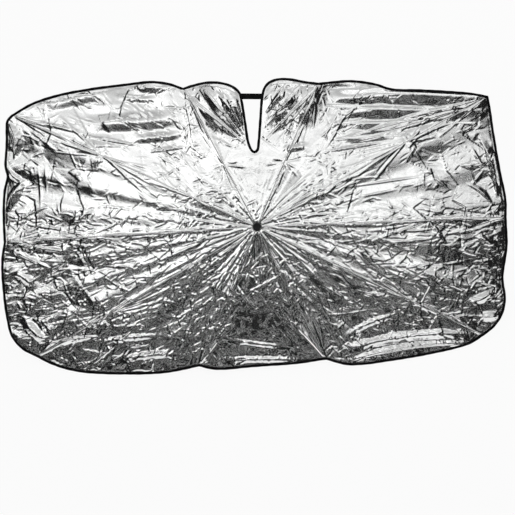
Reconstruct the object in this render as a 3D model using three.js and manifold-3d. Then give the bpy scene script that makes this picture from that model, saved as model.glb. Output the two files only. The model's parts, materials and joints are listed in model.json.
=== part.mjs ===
// Umbrella windscreen sunshade: a ten-rib folding frame on a short shaft, under a silver canopy
// with a deep notch for the mirror. Millimetres.
//
// The shade is built in its own frame: x to the right, y up the windscreen and z out of the
// silver face, with the crown's rib pivots in the plane z = 0. At the end the whole shade is
// laid down on its lower hem and its handle, as it comes to rest when it is put down open.
import * as THREE from 'three';
import { mergeVertices } from 'three/addons/utils/BufferGeometryUtils.js';
import { ConvexHull } from 'three/addons/math/ConvexHull.js';
import Module from 'manifold-3d';

const wasm = await Module();
wasm.setup();

const radians = THREE.MathUtils.degToRad;

// Clearances
const RUNNING_GAP = 0.3;
const SEAM_GAP = 0.4;
const SLIDING_GAP = 0.5;

// Ribs, counter-clockwise from the right as seen from the silver side. The reach is from the
// crown's centre to the hem.
const RIBS = [
	{ azimuth: 2.3, reach: 690 },
	{ azimuth: 29.6, reach: 734 },
	{ azimuth: 67.0, reach: 430 },
	{ azimuth: 118.0, reach: 433 },
	{ azimuth: 155.4, reach: 747 },
	{ azimuth: 183.4, reach: 701 },
	{ azimuth: 210.4, reach: 708 },
	{ azimuth: 247.4, reach: 415 },
	{ azimuth: 297.5, reach: 411 },
	{ azimuth: 334.5, reach: 695 },
];

// Hem between each rib and the next: how far along the chord from tip to tip, and how far
// the hem stands out beyond that chord.
const HEM = [
	[ [ 0.14, 7 ], [ 0.42, 3 ], [ 0.67, 2 ], [ 0.93, 2 ] ],
	[ [ 0.1, 5 ], [ 0.38, 4 ], [ 0.57, 1 ], [ 0.66, 11 ], [ 0.8, 15 ], [ 0.9, 9 ] ],
	[],
	[ [ 0.07, 18 ], [ 0.17, 32 ], [ 0.35, 37 ], [ 0.54, 39 ], [ 0.72, 36 ], [ 0.87, 24 ] ],
	[ [ 0.05, 13 ], [ 0.22, 12 ], [ 0.41, 11 ], [ 0.48, 4 ], [ 0.6, 10 ], [ 0.84, 7 ] ],
	[ [ 0.14, 20 ], [ 0.35, 37 ], [ 0.63, 51 ], [ 0.78, 51 ], [ 0.91, 31 ] ],
	[ [ 0.11, 21 ], [ 0.28, 36 ], [ 0.62, 33 ], [ 0.81, 23 ], [ 0.91, 12 ] ],
	[ [ 0.13, 12 ], [ 0.45, 10 ], [ 0.76, 8 ] ],
	[ [ 0.11, 22 ], [ 0.2, 29 ], [ 0.46, 31 ], [ 0.71, 28 ], [ 0.91, 17 ] ],
	[ [ 0.09, 25 ], [ 0.2, 40 ], [ 0.33, 41 ], [ 0.5, 24 ], [ 0.77, 18 ] ],
];

// Mirror notch, in the panel between the two short ribs at the top
const NOTCH_GORE = 2;
const NOTCH_RIGHT_FLAP = [ [ 132, 400 ], [ 85, 408 ], [ 54, 407 ], [ 31, 398 ], [ 17, 381 ] ];
const NOTCH_RIGHT_MOUTH = { x: 10, y: 350 };
const NOTCH_LEFT_MOUTH = { x: - 39, y: 346 };
const NOTCH_LEFT_FLAP = [ [ - 44, 366 ], [ - 60, 383 ], [ - 88, 395 ], [ - 135, 399 ], [ - 176, 391 ] ];
const NOTCH_BEYOND_JOINT = 14;
const NOTCH_BOTTOM_X = - 7;
const NOTCH_TOE_HALF = 5;
const NOTCH_TOE_RISE = 4;
const NOTCH_RIGHT_FOOT_X = 1;
const NOTCH_RIGHT_FOOT_RISE = 24;
const NOTCH_LEFT_FOOT_X = - 20;
const NOTCH_LEFT_FOOT_RISE = 22;

// Canopy
const CANOPY_THICK = 1.0;
const CANOPY_HOLE_R = 5.4;
const CANOPY_OVER_RIBS = 0.8;
const FOLD_DEPTH = 9;
const GORE_COLUMNS = 8;
const BINDING_WIDE = 7;
const BINDING_THICK = 2.6;
const STRAP_WIDE = 16;
const STRAP_THICK = 1.2;
const STRAP_OVER_LEFT = 24;
const STRAP_UNDER_RIGHT = 14;
const STRAP_BEND = 7;

// Rib slopes below the crown's plane when open, and the radii of the two folding joints
const INNER_SLOPE = 3;
const MIDDLE_SLOPE = 7;
const OUTER_SLOPE = 11;
const FIRST_JOINT_R = 194;
const SECOND_JOINT_R = 471;

// Sections of the links: the inner rib is a channel open downwards, and the middle rib is a
// wider channel open upwards that the inner rib folds into
const STEEL_THICK = 0.5;
const INNER_HALF_WIDE = 1.4;
const INNER_HALF_HIGH = 1.3;
const MIDDLE_FLOOR_DROP = 1.95;
const OUTER_ROD_R = 1.2;
const PIN_R = 0.6;
const HOLE_R = 0.9;
const STRETCHER_THICK = 1.2;
const STRETCHER_HALF_HIGH = 1.0;
const STRETCHER_EYE_R = 1.25;
const STRETCHER_ALONG_RIB = 100;
const STRETCHER_BELOW_RIB = 0.8;
const STRETCHER_LONG = 120;
const TONGUE_THICK = 2.0;
const TONGUE_HALF_HIGH = 1.3;
const FORK_LONG = 11;
const TONGUE_ROOT = 8;
const FORK_ROOF = 0.95;
const FORK_BEHIND = 1.6;
const ROD_OVER_TONGUE = 1.6;
const MIDDLE_BEHIND = 2.2;
const RIVET_PROUD = 0.4;
const FORK_RIVET_PROUD = 0.3;
const CHANNEL_FROM_CROWN = 3.4;
const EYE_IN_CHANNEL = 3;
const SHORT_CHANNEL_SHARE = 0.6;
const PLUG_LONG = 10;
const TIP_R = 2.1;
const TIP_LONG = 14;

// Crown, shaft, runner and handle
const CROWN_PIVOT_R = 9;
const CROWN_WIRE_R = 0.55;
const CROWN_R = 10.6;
const CROWN_BELOW = 3.4;
const CROWN_ABOVE = 1.5;
const HUB_R = 6.3;
const HUB_LONG = 12;
const EYE_R = 1.5;
const EYE_THICK = 1.6;
const SHAFT_R = 4;
const SHAFT_WALL = 0.7;
const HANDLE_BOTTOM = 305;
const HANDLE_LONG = 60;
const HANDLE_R = 10.5;
const HANDLE_NECK_R = 8.2;
const HANDLE_FOOT_R = 9.4;
const HANDLE_CAP_THICK = 5;
const HANDLE_PLUG_LONG = 12;
const SHAFT_ABOVE_CAP = 4;
const SHAFT_OVER_CROWN = 2;
const CAP_R = 11.5;
const CAP_HIGH = 8;
const CAP_PLUG_LONG = 9;
const CAP_COLLAR_HIGH = 1.4;
const CAP_COLLAR_GAP = 0.4;
const RUNNER_PIVOT_R = 9;
const RUNNER_WALL = 1.8;
const RUNNER_RIM_R = 11.5;
const RUNNER_RIM_HALF = 3.2;
const RUNNER_LONG = 24;
const RUNNER_THUMB_R = 9.8;
const RUNNER_THUMB_THICK = 3;

const FINISHES = {
	foil: { color: 0xc9ccce, roughness: 0.32, metalness: 0.9 },
	webbing: { color: 0x141517, roughness: 0.9, metalness: 0 },
	plastic: { color: 0x1c1d1f, roughness: 0.5, metalness: 0 },
	steel: { color: 0x9a9da1, roughness: 0.35, metalness: 1 },
	glassfibre: { color: 0x232427, roughness: 0.55, metalness: 0 },
};

// Shapes

function clean( geometry ) {

	const bare = geometry.index ? geometry.toNonIndexed() : geometry.clone();
	bare.deleteAttribute( 'normal' );
	bare.deleteAttribute( 'uv' );
	return mergeVertices( bare, 1e-4 );

}

function solid( geometry ) {

	const merged = clean( geometry );
	return new wasm.Manifold( new wasm.Mesh( {
		numProp: 3,
		vertProperties: new Float32Array( merged.attributes.position.array ),
		triVerts: new Uint32Array( merged.index.array ),
	} ) );

}

function surfaceOf( manifold ) {

	const { numProp, vertProperties, triVerts } = manifold.getMesh();
	const geometry = new THREE.BufferGeometry();
	const points = [];
	for ( let i = 0; i < vertProperties.length; i += numProp ) {

		points.push( vertProperties[ i ], vertProperties[ i + 1 ], vertProperties[ i + 2 ] );

	}

	geometry.setAttribute( 'position', new THREE.Float32BufferAttribute( points, 3 ) );
	geometry.setIndex( Array.from( triVerts ) );
	return geometry;

}

function closedShape( points ) {

	return new THREE.Shape( points.map( ( [ x, y ] ) => new THREE.Vector2( x, y ) ) );

}

// A section drawn across (y) and up (z), drawn out along x from one place to another
function along( section, from, to ) {

	const geometry = new THREE.ExtrudeGeometry( closedShape( section ), {
		depth: to - from, steps: 1, bevelEnabled: false } );
	const axes = new THREE.Matrix4().makeBasis(
		new THREE.Vector3( 0, 1, 0 ), new THREE.Vector3( 0, 0, 1 ), new THREE.Vector3( 1, 0, 0 ) );
	return geometry.applyMatrix4( axes ).translate( from, 0, 0 );

}

// A plate drawn in the x-z plane, with its thickness centred across y
function plate( shape, thick, curveSegments = 3 ) {

	const geometry = new THREE.ExtrudeGeometry( shape, {
		depth: thick, steps: 1, bevelEnabled: false, curveSegments } );
	const axes = new THREE.Matrix4().makeBasis(
		new THREE.Vector3( 1, 0, 0 ), new THREE.Vector3( 0, 0, 1 ), new THREE.Vector3( 0, - 1, 0 ) );
	return geometry.applyMatrix4( axes ).translate( 0, thick / 2, 0 );

}

function crossPin( x, z, radius, halfLong, sides = 6 ) {

	return new THREE.CylinderGeometry( radius, radius, 2 * halfLong, sides )
		.translate( x, 0, z );

}

function lengthPin( from, to, z, radius, sides = 6 ) {

	return new THREE.CylinderGeometry( radius, radius, to - from, sides )
		.rotateZ( Math.PI / 2 ).translate( ( from + to ) / 2, 0, z );

}

// A turned piece about the shaft, from its half profile of [radius, height]
function turned( profile, segments ) {

	const points = [ ...profile, profile[ 0 ] ].map( ( [ r, z ] ) => new THREE.Vector2( r, z ) );
	return new THREE.LatheGeometry( points, segments ).rotateX( Math.PI / 2 );

}

function channel( halfWide, floor, top, from, to, opensUp ) {

	const inner = halfWide - STEEL_THICK;
	const web = opensUp ? floor : top;
	const rim = opensUp ? top : floor;
	const webInside = web + ( opensUp ? STEEL_THICK : - STEEL_THICK );
	const section = [
		[ - halfWide, web ], [ halfWide, web ], [ halfWide, rim ], [ inner, rim ],
		[ inner, webInside ], [ - inner, webInside ], [ - inner, rim ], [ - halfWide, rim ],
	];
	return along( opensUp ? section : section.reverse(), from, to );

}

// A flat bar along x with an eye at the origin
function eyeBar( length, eyeR, halfHigh, holeR ) {

	const side = Math.asin( halfHigh / eyeR );
	const shape = new THREE.Shape();
	shape.absarc( 0, 0, eyeR, side, 2 * Math.PI - side, false );
	shape.lineTo( length, - halfHigh );
	shape.lineTo( length + halfHigh * 0.6, 0 );
	shape.lineTo( length, halfHigh );
	const hole = new THREE.Path();
	hole.absarc( 0, 0, holeR, 0, 2 * Math.PI, true );
	shape.holes.push( hole );
	return shape;

}

// Frame links. Each lies along x from its own hinge at the origin, with z towards the canopy.

const innerLong = ( FIRST_JOINT_R - CROWN_PIVOT_R ) / Math.cos( radians( INNER_SLOPE ) );
const middleLong = ( SECOND_JOINT_R - FIRST_JOINT_R ) / Math.cos( radians( MIDDLE_SLOPE ) );
const middleHalfWide = INNER_HALF_WIDE + RUNNING_GAP + STEEL_THICK;
const middleFloor = - MIDDLE_FLOOR_DROP - STEEL_THICK;
const secondJointDrop = OUTER_ROD_R - INNER_HALF_HIGH + ROD_OVER_TONGUE;
const rodRise = secondJointDrop + INNER_HALF_HIGH - OUTER_ROD_R;
const pinHalfLong = middleHalfWide + RIVET_PROUD;
const tipFromHem = 2 * BINDING_WIDE + TIP_R;

function innerRib() {

	const channelFrom = CROWN_R - CROWN_PIVOT_R + CHANNEL_FROM_CROWN;
	const body = solid( channel( INNER_HALF_WIDE, - INNER_HALF_HIGH, INNER_HALF_HIGH,
		channelFrom, innerLong + 1, false ) );
	const eye = solid( plate( eyeBar( channelFrom + EYE_IN_CHANNEL, EYE_R, INNER_HALF_HIGH - 0.2,
		CROWN_WIRE_R + 1.3 * RUNNING_GAP ), EYE_THICK ) );
	const rivet = solid( crossPin( STRETCHER_ALONG_RIB, - STRETCHER_BELOW_RIB, PIN_R,
		INNER_HALF_WIDE + RIVET_PROUD ) );
	return surfaceOf( body
		.subtract( solid( crossPin( innerLong, 0, HOLE_R, INNER_HALF_WIDE + 1 ) ) )
		.add( eye ).add( rivet ) );

}

function stretcher() {

	return surfaceOf( solid( plate( eyeBar( STRETCHER_LONG, STRETCHER_EYE_R, STRETCHER_HALF_HIGH, HOLE_R ),
		STRETCHER_THICK ) ) );

}

function middleBody( to ) {

	return solid( channel( middleHalfWide, middleFloor, INNER_HALF_HIGH, - MIDDLE_BEHIND, to, true ) )
		.add( solid( crossPin( 0, 0, PIN_R, pinHalfLong ) ) );

}

function middleRib() {

	const channelEnd = middleLong - FORK_LONG - 1;
	const tongue = along( [
		[ - TONGUE_THICK / 2, - secondJointDrop - TONGUE_HALF_HIGH ],
		[ TONGUE_THICK / 2, - secondJointDrop - TONGUE_HALF_HIGH ],
		[ TONGUE_THICK / 2, - secondJointDrop + TONGUE_HALF_HIGH ],
		[ - TONGUE_THICK / 2, - secondJointDrop + TONGUE_HALF_HIGH ],
	], channelEnd - TONGUE_ROOT, middleLong );
	const round = crossPin( middleLong, - secondJointDrop, TONGUE_HALF_HIGH, TONGUE_THICK / 2, 10 );
	return surfaceOf( middleBody( channelEnd )
		.add( solid( tongue ) ).add( solid( round ) )
		.subtract( solid( crossPin( middleLong, - secondJointDrop, HOLE_R, TONGUE_THICK ) ) ) );

}

// The rod's end with its pushed-on tip, which the hem's pocket holds
function rodWithTip( from, to, height ) {

	return solid( lengthPin( from, to - TIP_LONG / 2, height, OUTER_ROD_R ) )
		.add( solid( lengthPin( to - TIP_LONG, to, height - ( TIP_R - OUTER_ROD_R ), TIP_R ) ) );

}

function shortRib( reach ) {

	const tipAt = ( reach - tipFromHem - FIRST_JOINT_R ) / Math.cos( radians( MIDDLE_SLOPE ) );
	const channelEnd = tipAt * SHORT_CHANNEL_SHARE;
	const height = INNER_HALF_HIGH - OUTER_ROD_R;
	const plugHalf = middleHalfWide - STEEL_THICK / 2;
	const plug = along( [
		[ - plugHalf, middleFloor + STEEL_THICK / 2 ], [ plugHalf, middleFloor + STEEL_THICK / 2 ],
		[ plugHalf, height ], [ - plugHalf, height ],
	], channelEnd - PLUG_LONG, channelEnd + 1 );
	return surfaceOf( middleBody( channelEnd ).add( solid( plug ) )
		.add( rodWithTip( channelEnd - PLUG_LONG / 2, tipAt, height ) ) );

}

function outerRib( reach ) {

	const tipAt = ( reach - tipFromHem - SECOND_JOINT_R ) / Math.cos( radians( OUTER_SLOPE ) );
	const forkHalfWide = TONGUE_THICK / 2 + RUNNING_GAP + STEEL_THICK;
	const fork = solid( channel( forkHalfWide, - TONGUE_HALF_HIGH, TONGUE_HALF_HIGH + FORK_ROOF,
		- FORK_BEHIND, FORK_LONG, false ) );
	return surfaceOf( fork
		.add( solid( crossPin( 0, 0, PIN_R, forkHalfWide + FORK_RIVET_PROUD ) ) )
		.add( rodWithTip( FORK_LONG - 2, tipAt, rodRise ) ) );

}

// Turned pieces and fittings on the shaft

function shaftTube() {

	const bottom = - HANDLE_BOTTOM + HANDLE_CAP_THICK + SHAFT_ABOVE_CAP;
	const top = CROWN_ABOVE + SHAFT_OVER_CROWN;
	return turned( [ [ SHAFT_R - SHAFT_WALL, bottom ], [ SHAFT_R, bottom ], [ SHAFT_R, top ],
		[ SHAFT_R - SHAFT_WALL, top ] ], 16 );

}

// A radial box that cuts the slot of one rib, from a given radius outwards
function slotCutter( azimuth, wide, from, bottom, top ) {

	const reach = 30;
	return solid( new THREE.BoxGeometry( reach, wide, top - bottom )
		.translate( from + reach / 2, 0, ( bottom + top ) / 2 )
		.rotateZ( radians( azimuth ) ) );

}

function crownNotch() {

	const bore = SHAFT_R + RUNNING_GAP;
	const grooveR = CROWN_PIVOT_R - CROWN_WIRE_R - RUNNING_GAP;
	const grooveHalf = CROWN_WIRE_R + RUNNING_GAP;
	let body = solid( turned( [
		[ bore, - HUB_LONG ], [ HUB_R, - HUB_LONG ], [ HUB_R, - CROWN_BELOW ],
		[ CROWN_R, - CROWN_BELOW ], [ CROWN_R, - grooveHalf ], [ grooveR, - grooveHalf ],
		[ grooveR, grooveHalf ], [ CROWN_R, grooveHalf ], [ CROWN_R, CROWN_ABOVE ],
		[ bore, CROWN_ABOVE ] ], 20 ) );
	for ( const rib of RIBS ) {

		body = body.subtract( slotCutter( rib.azimuth, EYE_THICK + 2 * RUNNING_GAP,
			CROWN_PIVOT_R - EYE_R - RUNNING_GAP, - HUB_LONG - 1, CROWN_ABOVE + 1 ) );

	}

	return surfaceOf( body );

}

function crownWire() {

	return new THREE.TorusGeometry( CROWN_PIVOT_R, CROWN_WIRE_R, 4, 36 );

}

function ferruleCap() {

	const bottom = canopyHeight( CROWN_PIVOT_R ) + CANOPY_THICK / 2 + RUNNING_GAP;
	const plugR = SHAFT_R - SHAFT_WALL - RUNNING_GAP;
	const plugBottom = bottom - CAP_PLUG_LONG;
	const collarR = CANOPY_HOLE_R - CAP_COLLAR_GAP;
	const collarTop = bottom + CAP_COLLAR_HIGH;
	return turned( [
		[ 0, plugBottom ], [ plugR, plugBottom ], [ plugR, collarTop ],
		[ collarR, collarTop ], [ collarR, bottom ],
		[ CAP_R, bottom ], [ CAP_R, bottom + CAP_HIGH * 0.55 ],
		[ CAP_R * 0.93, bottom + CAP_HIGH * 0.85 ],
		[ CAP_R * 0.8, bottom + CAP_HIGH ], [ 0, bottom + CAP_HIGH ] ], 20 );

}

function runner() {

	const bore = SHAFT_R + SLIDING_GAP;
	const barrel = bore + RUNNER_WALL;
	let body = solid( turned( [
		[ bore, - RUNNER_LONG ], [ RUNNER_THUMB_R, - RUNNER_LONG ],
		[ RUNNER_THUMB_R, - RUNNER_LONG + RUNNER_THUMB_THICK ],
		[ barrel, - RUNNER_LONG + RUNNER_THUMB_THICK + 2 ], [ barrel, - RUNNER_RIM_HALF ],
		[ RUNNER_RIM_R, - RUNNER_RIM_HALF ], [ RUNNER_RIM_R, RUNNER_RIM_HALF ],
		[ barrel, RUNNER_RIM_HALF ], [ barrel, RUNNER_RIM_HALF + 3 ],
		[ bore, RUNNER_RIM_HALF + 3 ] ], 20 ) );
	for ( const rib of RIBS ) {

		body = body.subtract( slotCutter( rib.azimuth, STRETCHER_THICK + 2 * RUNNING_GAP,
			barrel + 0.2, - RUNNER_RIM_HALF - 1, RUNNER_RIM_HALF + 1 ) );

	}

	return surfaceOf( body );

}

function handleGrip() {

	const bore = SHAFT_R + RUNNING_GAP;
	const top = - HANDLE_BOTTOM + HANDLE_LONG;
	const bottom = - HANDLE_BOTTOM + HANDLE_CAP_THICK + RUNNING_GAP;
	return turned( [
		[ bore, bottom ], [ HANDLE_FOOT_R, bottom ], [ HANDLE_R, bottom + HANDLE_LONG * 0.2 ],
		[ HANDLE_R, bottom + HANDLE_LONG * 0.42 ], [ HANDLE_R - 1.2, bottom + HANDLE_LONG * 0.62 ],
		[ HANDLE_NECK_R, bottom + HANDLE_LONG * 0.82 ], [ HANDLE_NECK_R, top ], [ bore, top ] ], 18 );

}

function handleCap() {

	const top = - HANDLE_BOTTOM + HANDLE_CAP_THICK;
	const plugR = SHAFT_R - SHAFT_WALL - RUNNING_GAP;
	return turned( [
		[ 0, - HANDLE_BOTTOM ], [ HANDLE_FOOT_R * 0.6, - HANDLE_BOTTOM + 0.5 ],
		[ HANDLE_FOOT_R * 0.88, - HANDLE_BOTTOM + 1.8 ], [ HANDLE_FOOT_R, top ],
		[ plugR, top ], [ plugR, top + HANDLE_PLUG_LONG ],
		[ 0, top + HANDLE_PLUG_LONG ] ], 18 );

}

// Canopy

function ribLine( radius ) {

	const spans = [ [ CROWN_PIVOT_R, INNER_SLOPE ], [ FIRST_JOINT_R, MIDDLE_SLOPE ],
		[ SECOND_JOINT_R, OUTER_SLOPE ], [ Infinity, 0 ] ];
	let height = 0;
	for ( let i = 0; i < 3; i ++ ) {

		const run = Math.min( radius, spans[ i + 1 ][ 0 ] ) - spans[ i ][ 0 ];
		if ( run > 0 ) height -= run * Math.tan( radians( spans[ i ][ 1 ] ) );

	}

	return height;

}

function canopyHeight( radius ) {

	return ribLine( radius ) + INNER_HALF_HIGH + CANOPY_OVER_RIBS + CANOPY_THICK / 2;

}

function isLong( rib ) {

	return rib.reach > SECOND_JOINT_R + 4 * TIP_LONG;

}

function mix( a, b, share ) {

	return a + ( b - a ) * share;

}

// Radii of the canopy's rings where they cross one rib, with a ring over each folding joint
function ringRadii( rib, hemRadius ) {

	const inner = [ CANOPY_HOLE_R, mix( CROWN_PIVOT_R, FIRST_JOINT_R, 0.28 ),
		mix( CROWN_PIVOT_R, FIRST_JOINT_R, 0.62 ), FIRST_JOINT_R ];
	if ( ! isLong( rib ) ) {

		const outer = [ 0.17, 0.36, 0.56, 0.74, 0.9, 1 ];
		return [ ...inner, ...outer.map( ( share ) => mix( FIRST_JOINT_R, hemRadius, share ) ) ];

	}

	const middle = [ 0.36, 0.7, 1 ].map( ( share ) => mix( FIRST_JOINT_R, SECOND_JOINT_R, share ) );
	const outer = [ 0.36, 0.72, 1 ].map( ( share ) => mix( SECOND_JOINT_R, hemRadius, share ) );
	return [ ...inner, ...middle, ...outer ];

}

const NOTCH_RING = 4;
const HEM_RING = 9;

// The notch ends just beyond the first joints, and its corners stand on its bottom
const notchBottom = { x: NOTCH_BOTTOM_X, y: FIRST_JOINT_R + NOTCH_BEYOND_JOINT };
const notchRightFoot = { x: NOTCH_RIGHT_FOOT_X, y: notchBottom.y + NOTCH_RIGHT_FOOT_RISE };
const notchLeftFoot = { x: NOTCH_LEFT_FOOT_X, y: notchBottom.y + NOTCH_LEFT_FOOT_RISE };

function ribTip( rib ) {

	const turn = radians( rib.azimuth );
	return new THREE.Vector2( Math.cos( turn ) * rib.reach, Math.sin( turn ) * rib.reach );

}

function smoothThrough( points, count ) {

	const curve = new THREE.CatmullRomCurve3(
		points.map( ( p ) => new THREE.Vector3( p.x, p.y, 0 ) ), false, 'centripetal' );
	return curve.getSpacedPoints( count ).map( ( p ) => new THREE.Vector2( p.x, p.y ) );

}

// The outline of the notched panel, from the right-hand rib to the left-hand one: flap, edge,
// rounded bottom, edge and flap. The last point belongs to the next panel.
function notchOutline( from, to ) {

	const point = ( p ) => new THREE.Vector2( p.x, p.y );
	const pair = ( [ x, y ] ) => new THREE.Vector2( x, y );
	const rings = ringRadii( RIBS[ NOTCH_GORE ], RIBS[ NOTCH_GORE ].reach ).slice( NOTCH_RING );
	const steps = rings.map( ( radius ) => ( radius - rings[ 0 ] ) / ( rings.at( - 1 ) - rings[ 0 ] ) );
	const edge = ( foot, mouth ) => steps.map( ( step ) => point( foot ).lerp( point( mouth ), step ) );
	return [
		from, ...NOTCH_RIGHT_FLAP.map( pair ),
		...edge( notchRightFoot, NOTCH_RIGHT_MOUTH ).reverse(),
		new THREE.Vector2( notchBottom.x + NOTCH_TOE_HALF, notchBottom.y + NOTCH_TOE_RISE ),
		point( notchBottom ),
		new THREE.Vector2( notchBottom.x - NOTCH_TOE_HALF, notchBottom.y + NOTCH_TOE_RISE ),
		...edge( notchLeftFoot, NOTCH_LEFT_MOUTH ),
		...NOTCH_LEFT_FLAP.map( pair ), to,
	];

}

function panelOutline( index ) {

	const from = ribTip( RIBS[ index ] );
	const to = ribTip( RIBS[ ( index + 1 ) % RIBS.length ] );
	if ( index === NOTCH_GORE ) return notchOutline( from, to );
	const chord = to.clone().sub( from );
	const outward = new THREE.Vector2( chord.y, - chord.x ).normalize();
	const shaped = HEM[ index ].map( ( [ share, beyond ] ) =>
		from.clone().addScaledVector( chord, share ).addScaledVector( outward, beyond ) );
	return smoothThrough( [ from, ...shaped, to ], GORE_COLUMNS );

}

// The whole hem as one closed loop, and the same loop moved inwards in the canopy's plane
const outlines = RIBS.map( ( _, index ) => panelOutline( index ) );
const hemLoop = outlines.flatMap( ( outline ) => outline.slice( 0, - 1 ) );

const tipPlaces = outlines.map( ( _, index ) =>
	outlines.slice( 0, index ).reduce( ( sum, outline ) => sum + outline.length - 1, 0 ) );

// Which way is outwards at a point of the hem, and how much further a moved line lies there.
// A rib's tip moves along its rib.
function outwardAt( i ) {

	const before = hemLoop[ ( i + hemLoop.length - 1 ) % hemLoop.length ];
	const after = hemLoop[ ( i + 1 ) % hemLoop.length ];
	const sides = [ hemLoop[ i ].clone().sub( before ), after.clone().sub( hemLoop[ i ] ) ]
		.map( ( side ) => new THREE.Vector2( side.y, - side.x ).normalize() );
	const direction = tipPlaces.includes( i )
		? hemLoop[ i ].clone().normalize()
		: sides[ 0 ].clone().add( sides[ 1 ] ).normalize();
	const reached = Math.min( ...sides.map( ( side ) => side.dot( direction ) ) );
	return { direction, stretch: 1 / Math.max( reached, 0.6 ) };

}

function movedIn( distance ) {

	return hemLoop.map( ( point, i ) => {

		const { direction, stretch } = outwardAt( i );
		return point.clone().addScaledVector( direction, - distance * stretch );

	} );

}

function sharesOf( points, index ) {

	const start = radians( RIBS[ index ].azimuth );
	const turnAt = ( x, y ) => THREE.MathUtils.euclideanModulo( Math.atan2( y, x ) - start, 2 * Math.PI );
	const next = RIBS[ ( index + 1 ) % RIBS.length ];
	const full = THREE.MathUtils.euclideanModulo( radians( next.azimuth ) - start, 2 * Math.PI );
	return points.map( ( p ) => {

		const turn = turnAt( p.x, p.y );
		const signed = turn > Math.PI ? turn - 2 * Math.PI : turn;
		return THREE.MathUtils.clamp( signed / full, 0, 1 );

	} );

}

// How far the cloth falls or stands between two ribs: pleats that fan out of the crown, with
// a slower billow along each, and nothing at the ribs, the crown or the notch
function foldAt( share, ring, index ) {

	const out = ring / HEM_RING;
	const nearRib = Math.sin( Math.PI * share ) ** 0.7;
	const notch = index === NOTCH_GORE ? 1 - Math.exp( - Math.pow( ( share - 0.5 ) / 0.3, 4 ) ) : 1;
	const pleat = Math.sin( ( 5 + index % 3 ) * Math.PI * share + 1.7 * index );
	const billow = Math.cos( 2.1 * out * Math.PI + 2.3 * index ) * 0.5 - 0.6;
	return FOLD_DEPTH * out * nearRib * notch * ( 0.55 * pleat + billow );

}

// Heights in one panel, whose edge lies this far inside the hem
function ringHeights( index, insideHem ) {

	const next = RIBS[ ( index + 1 ) % RIBS.length ];
	const here = ringRadii( RIBS[ index ], RIBS[ index ].reach - insideHem );
	const there = ringRadii( next, next.reach - insideHem );
	return ( share, ring ) => mix( canopyHeight( here[ ring ] ), canopyHeight( there[ ring ] ), share )
		+ foldAt( share, ring, index );

}

// Keeps a panel's first and last columns just beside the ribs' lines
function besideRib( point, rib, side ) {

	const turn = radians( rib.azimuth );
	const radial = new THREE.Vector2( Math.cos( turn ), Math.sin( turn ) );
	const across = new THREE.Vector2( - radial.y, radial.x );
	const distance = point.dot( radial );
	return radial.multiplyScalar( distance ).addScaledVector( across, side * SEAM_GAP / 2 );

}

function plainPanel( index, hem ) {

	const rib = RIBS[ index ];
	const next = RIBS[ ( index + 1 ) % RIBS.length ];
	const shares = sharesOf( hem, index );
	const height = ringHeights( index, BINDING_WIDE + RUNNING_GAP );
	const here = ringRadii( rib, hem[ 0 ].length() );
	const there = ringRadii( next, hem.at( - 1 ).length() );
	return here.map( ( _, ring ) => hem.map( ( point, column ) => {

		const share = shares[ column ];
		const part = mix( here[ ring ] / here[ HEM_RING ], there[ ring ] / there[ HEM_RING ], share );
		let flat = point.clone().multiplyScalar( part );
		if ( column === 0 ) flat = besideRib( flat, rib, 1 );
		if ( column === hem.length - 1 ) flat = besideRib( flat, next, - 1 );
		return new THREE.Vector3( flat.x, flat.y, height( share, ring ) );

	} ) );

}

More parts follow.
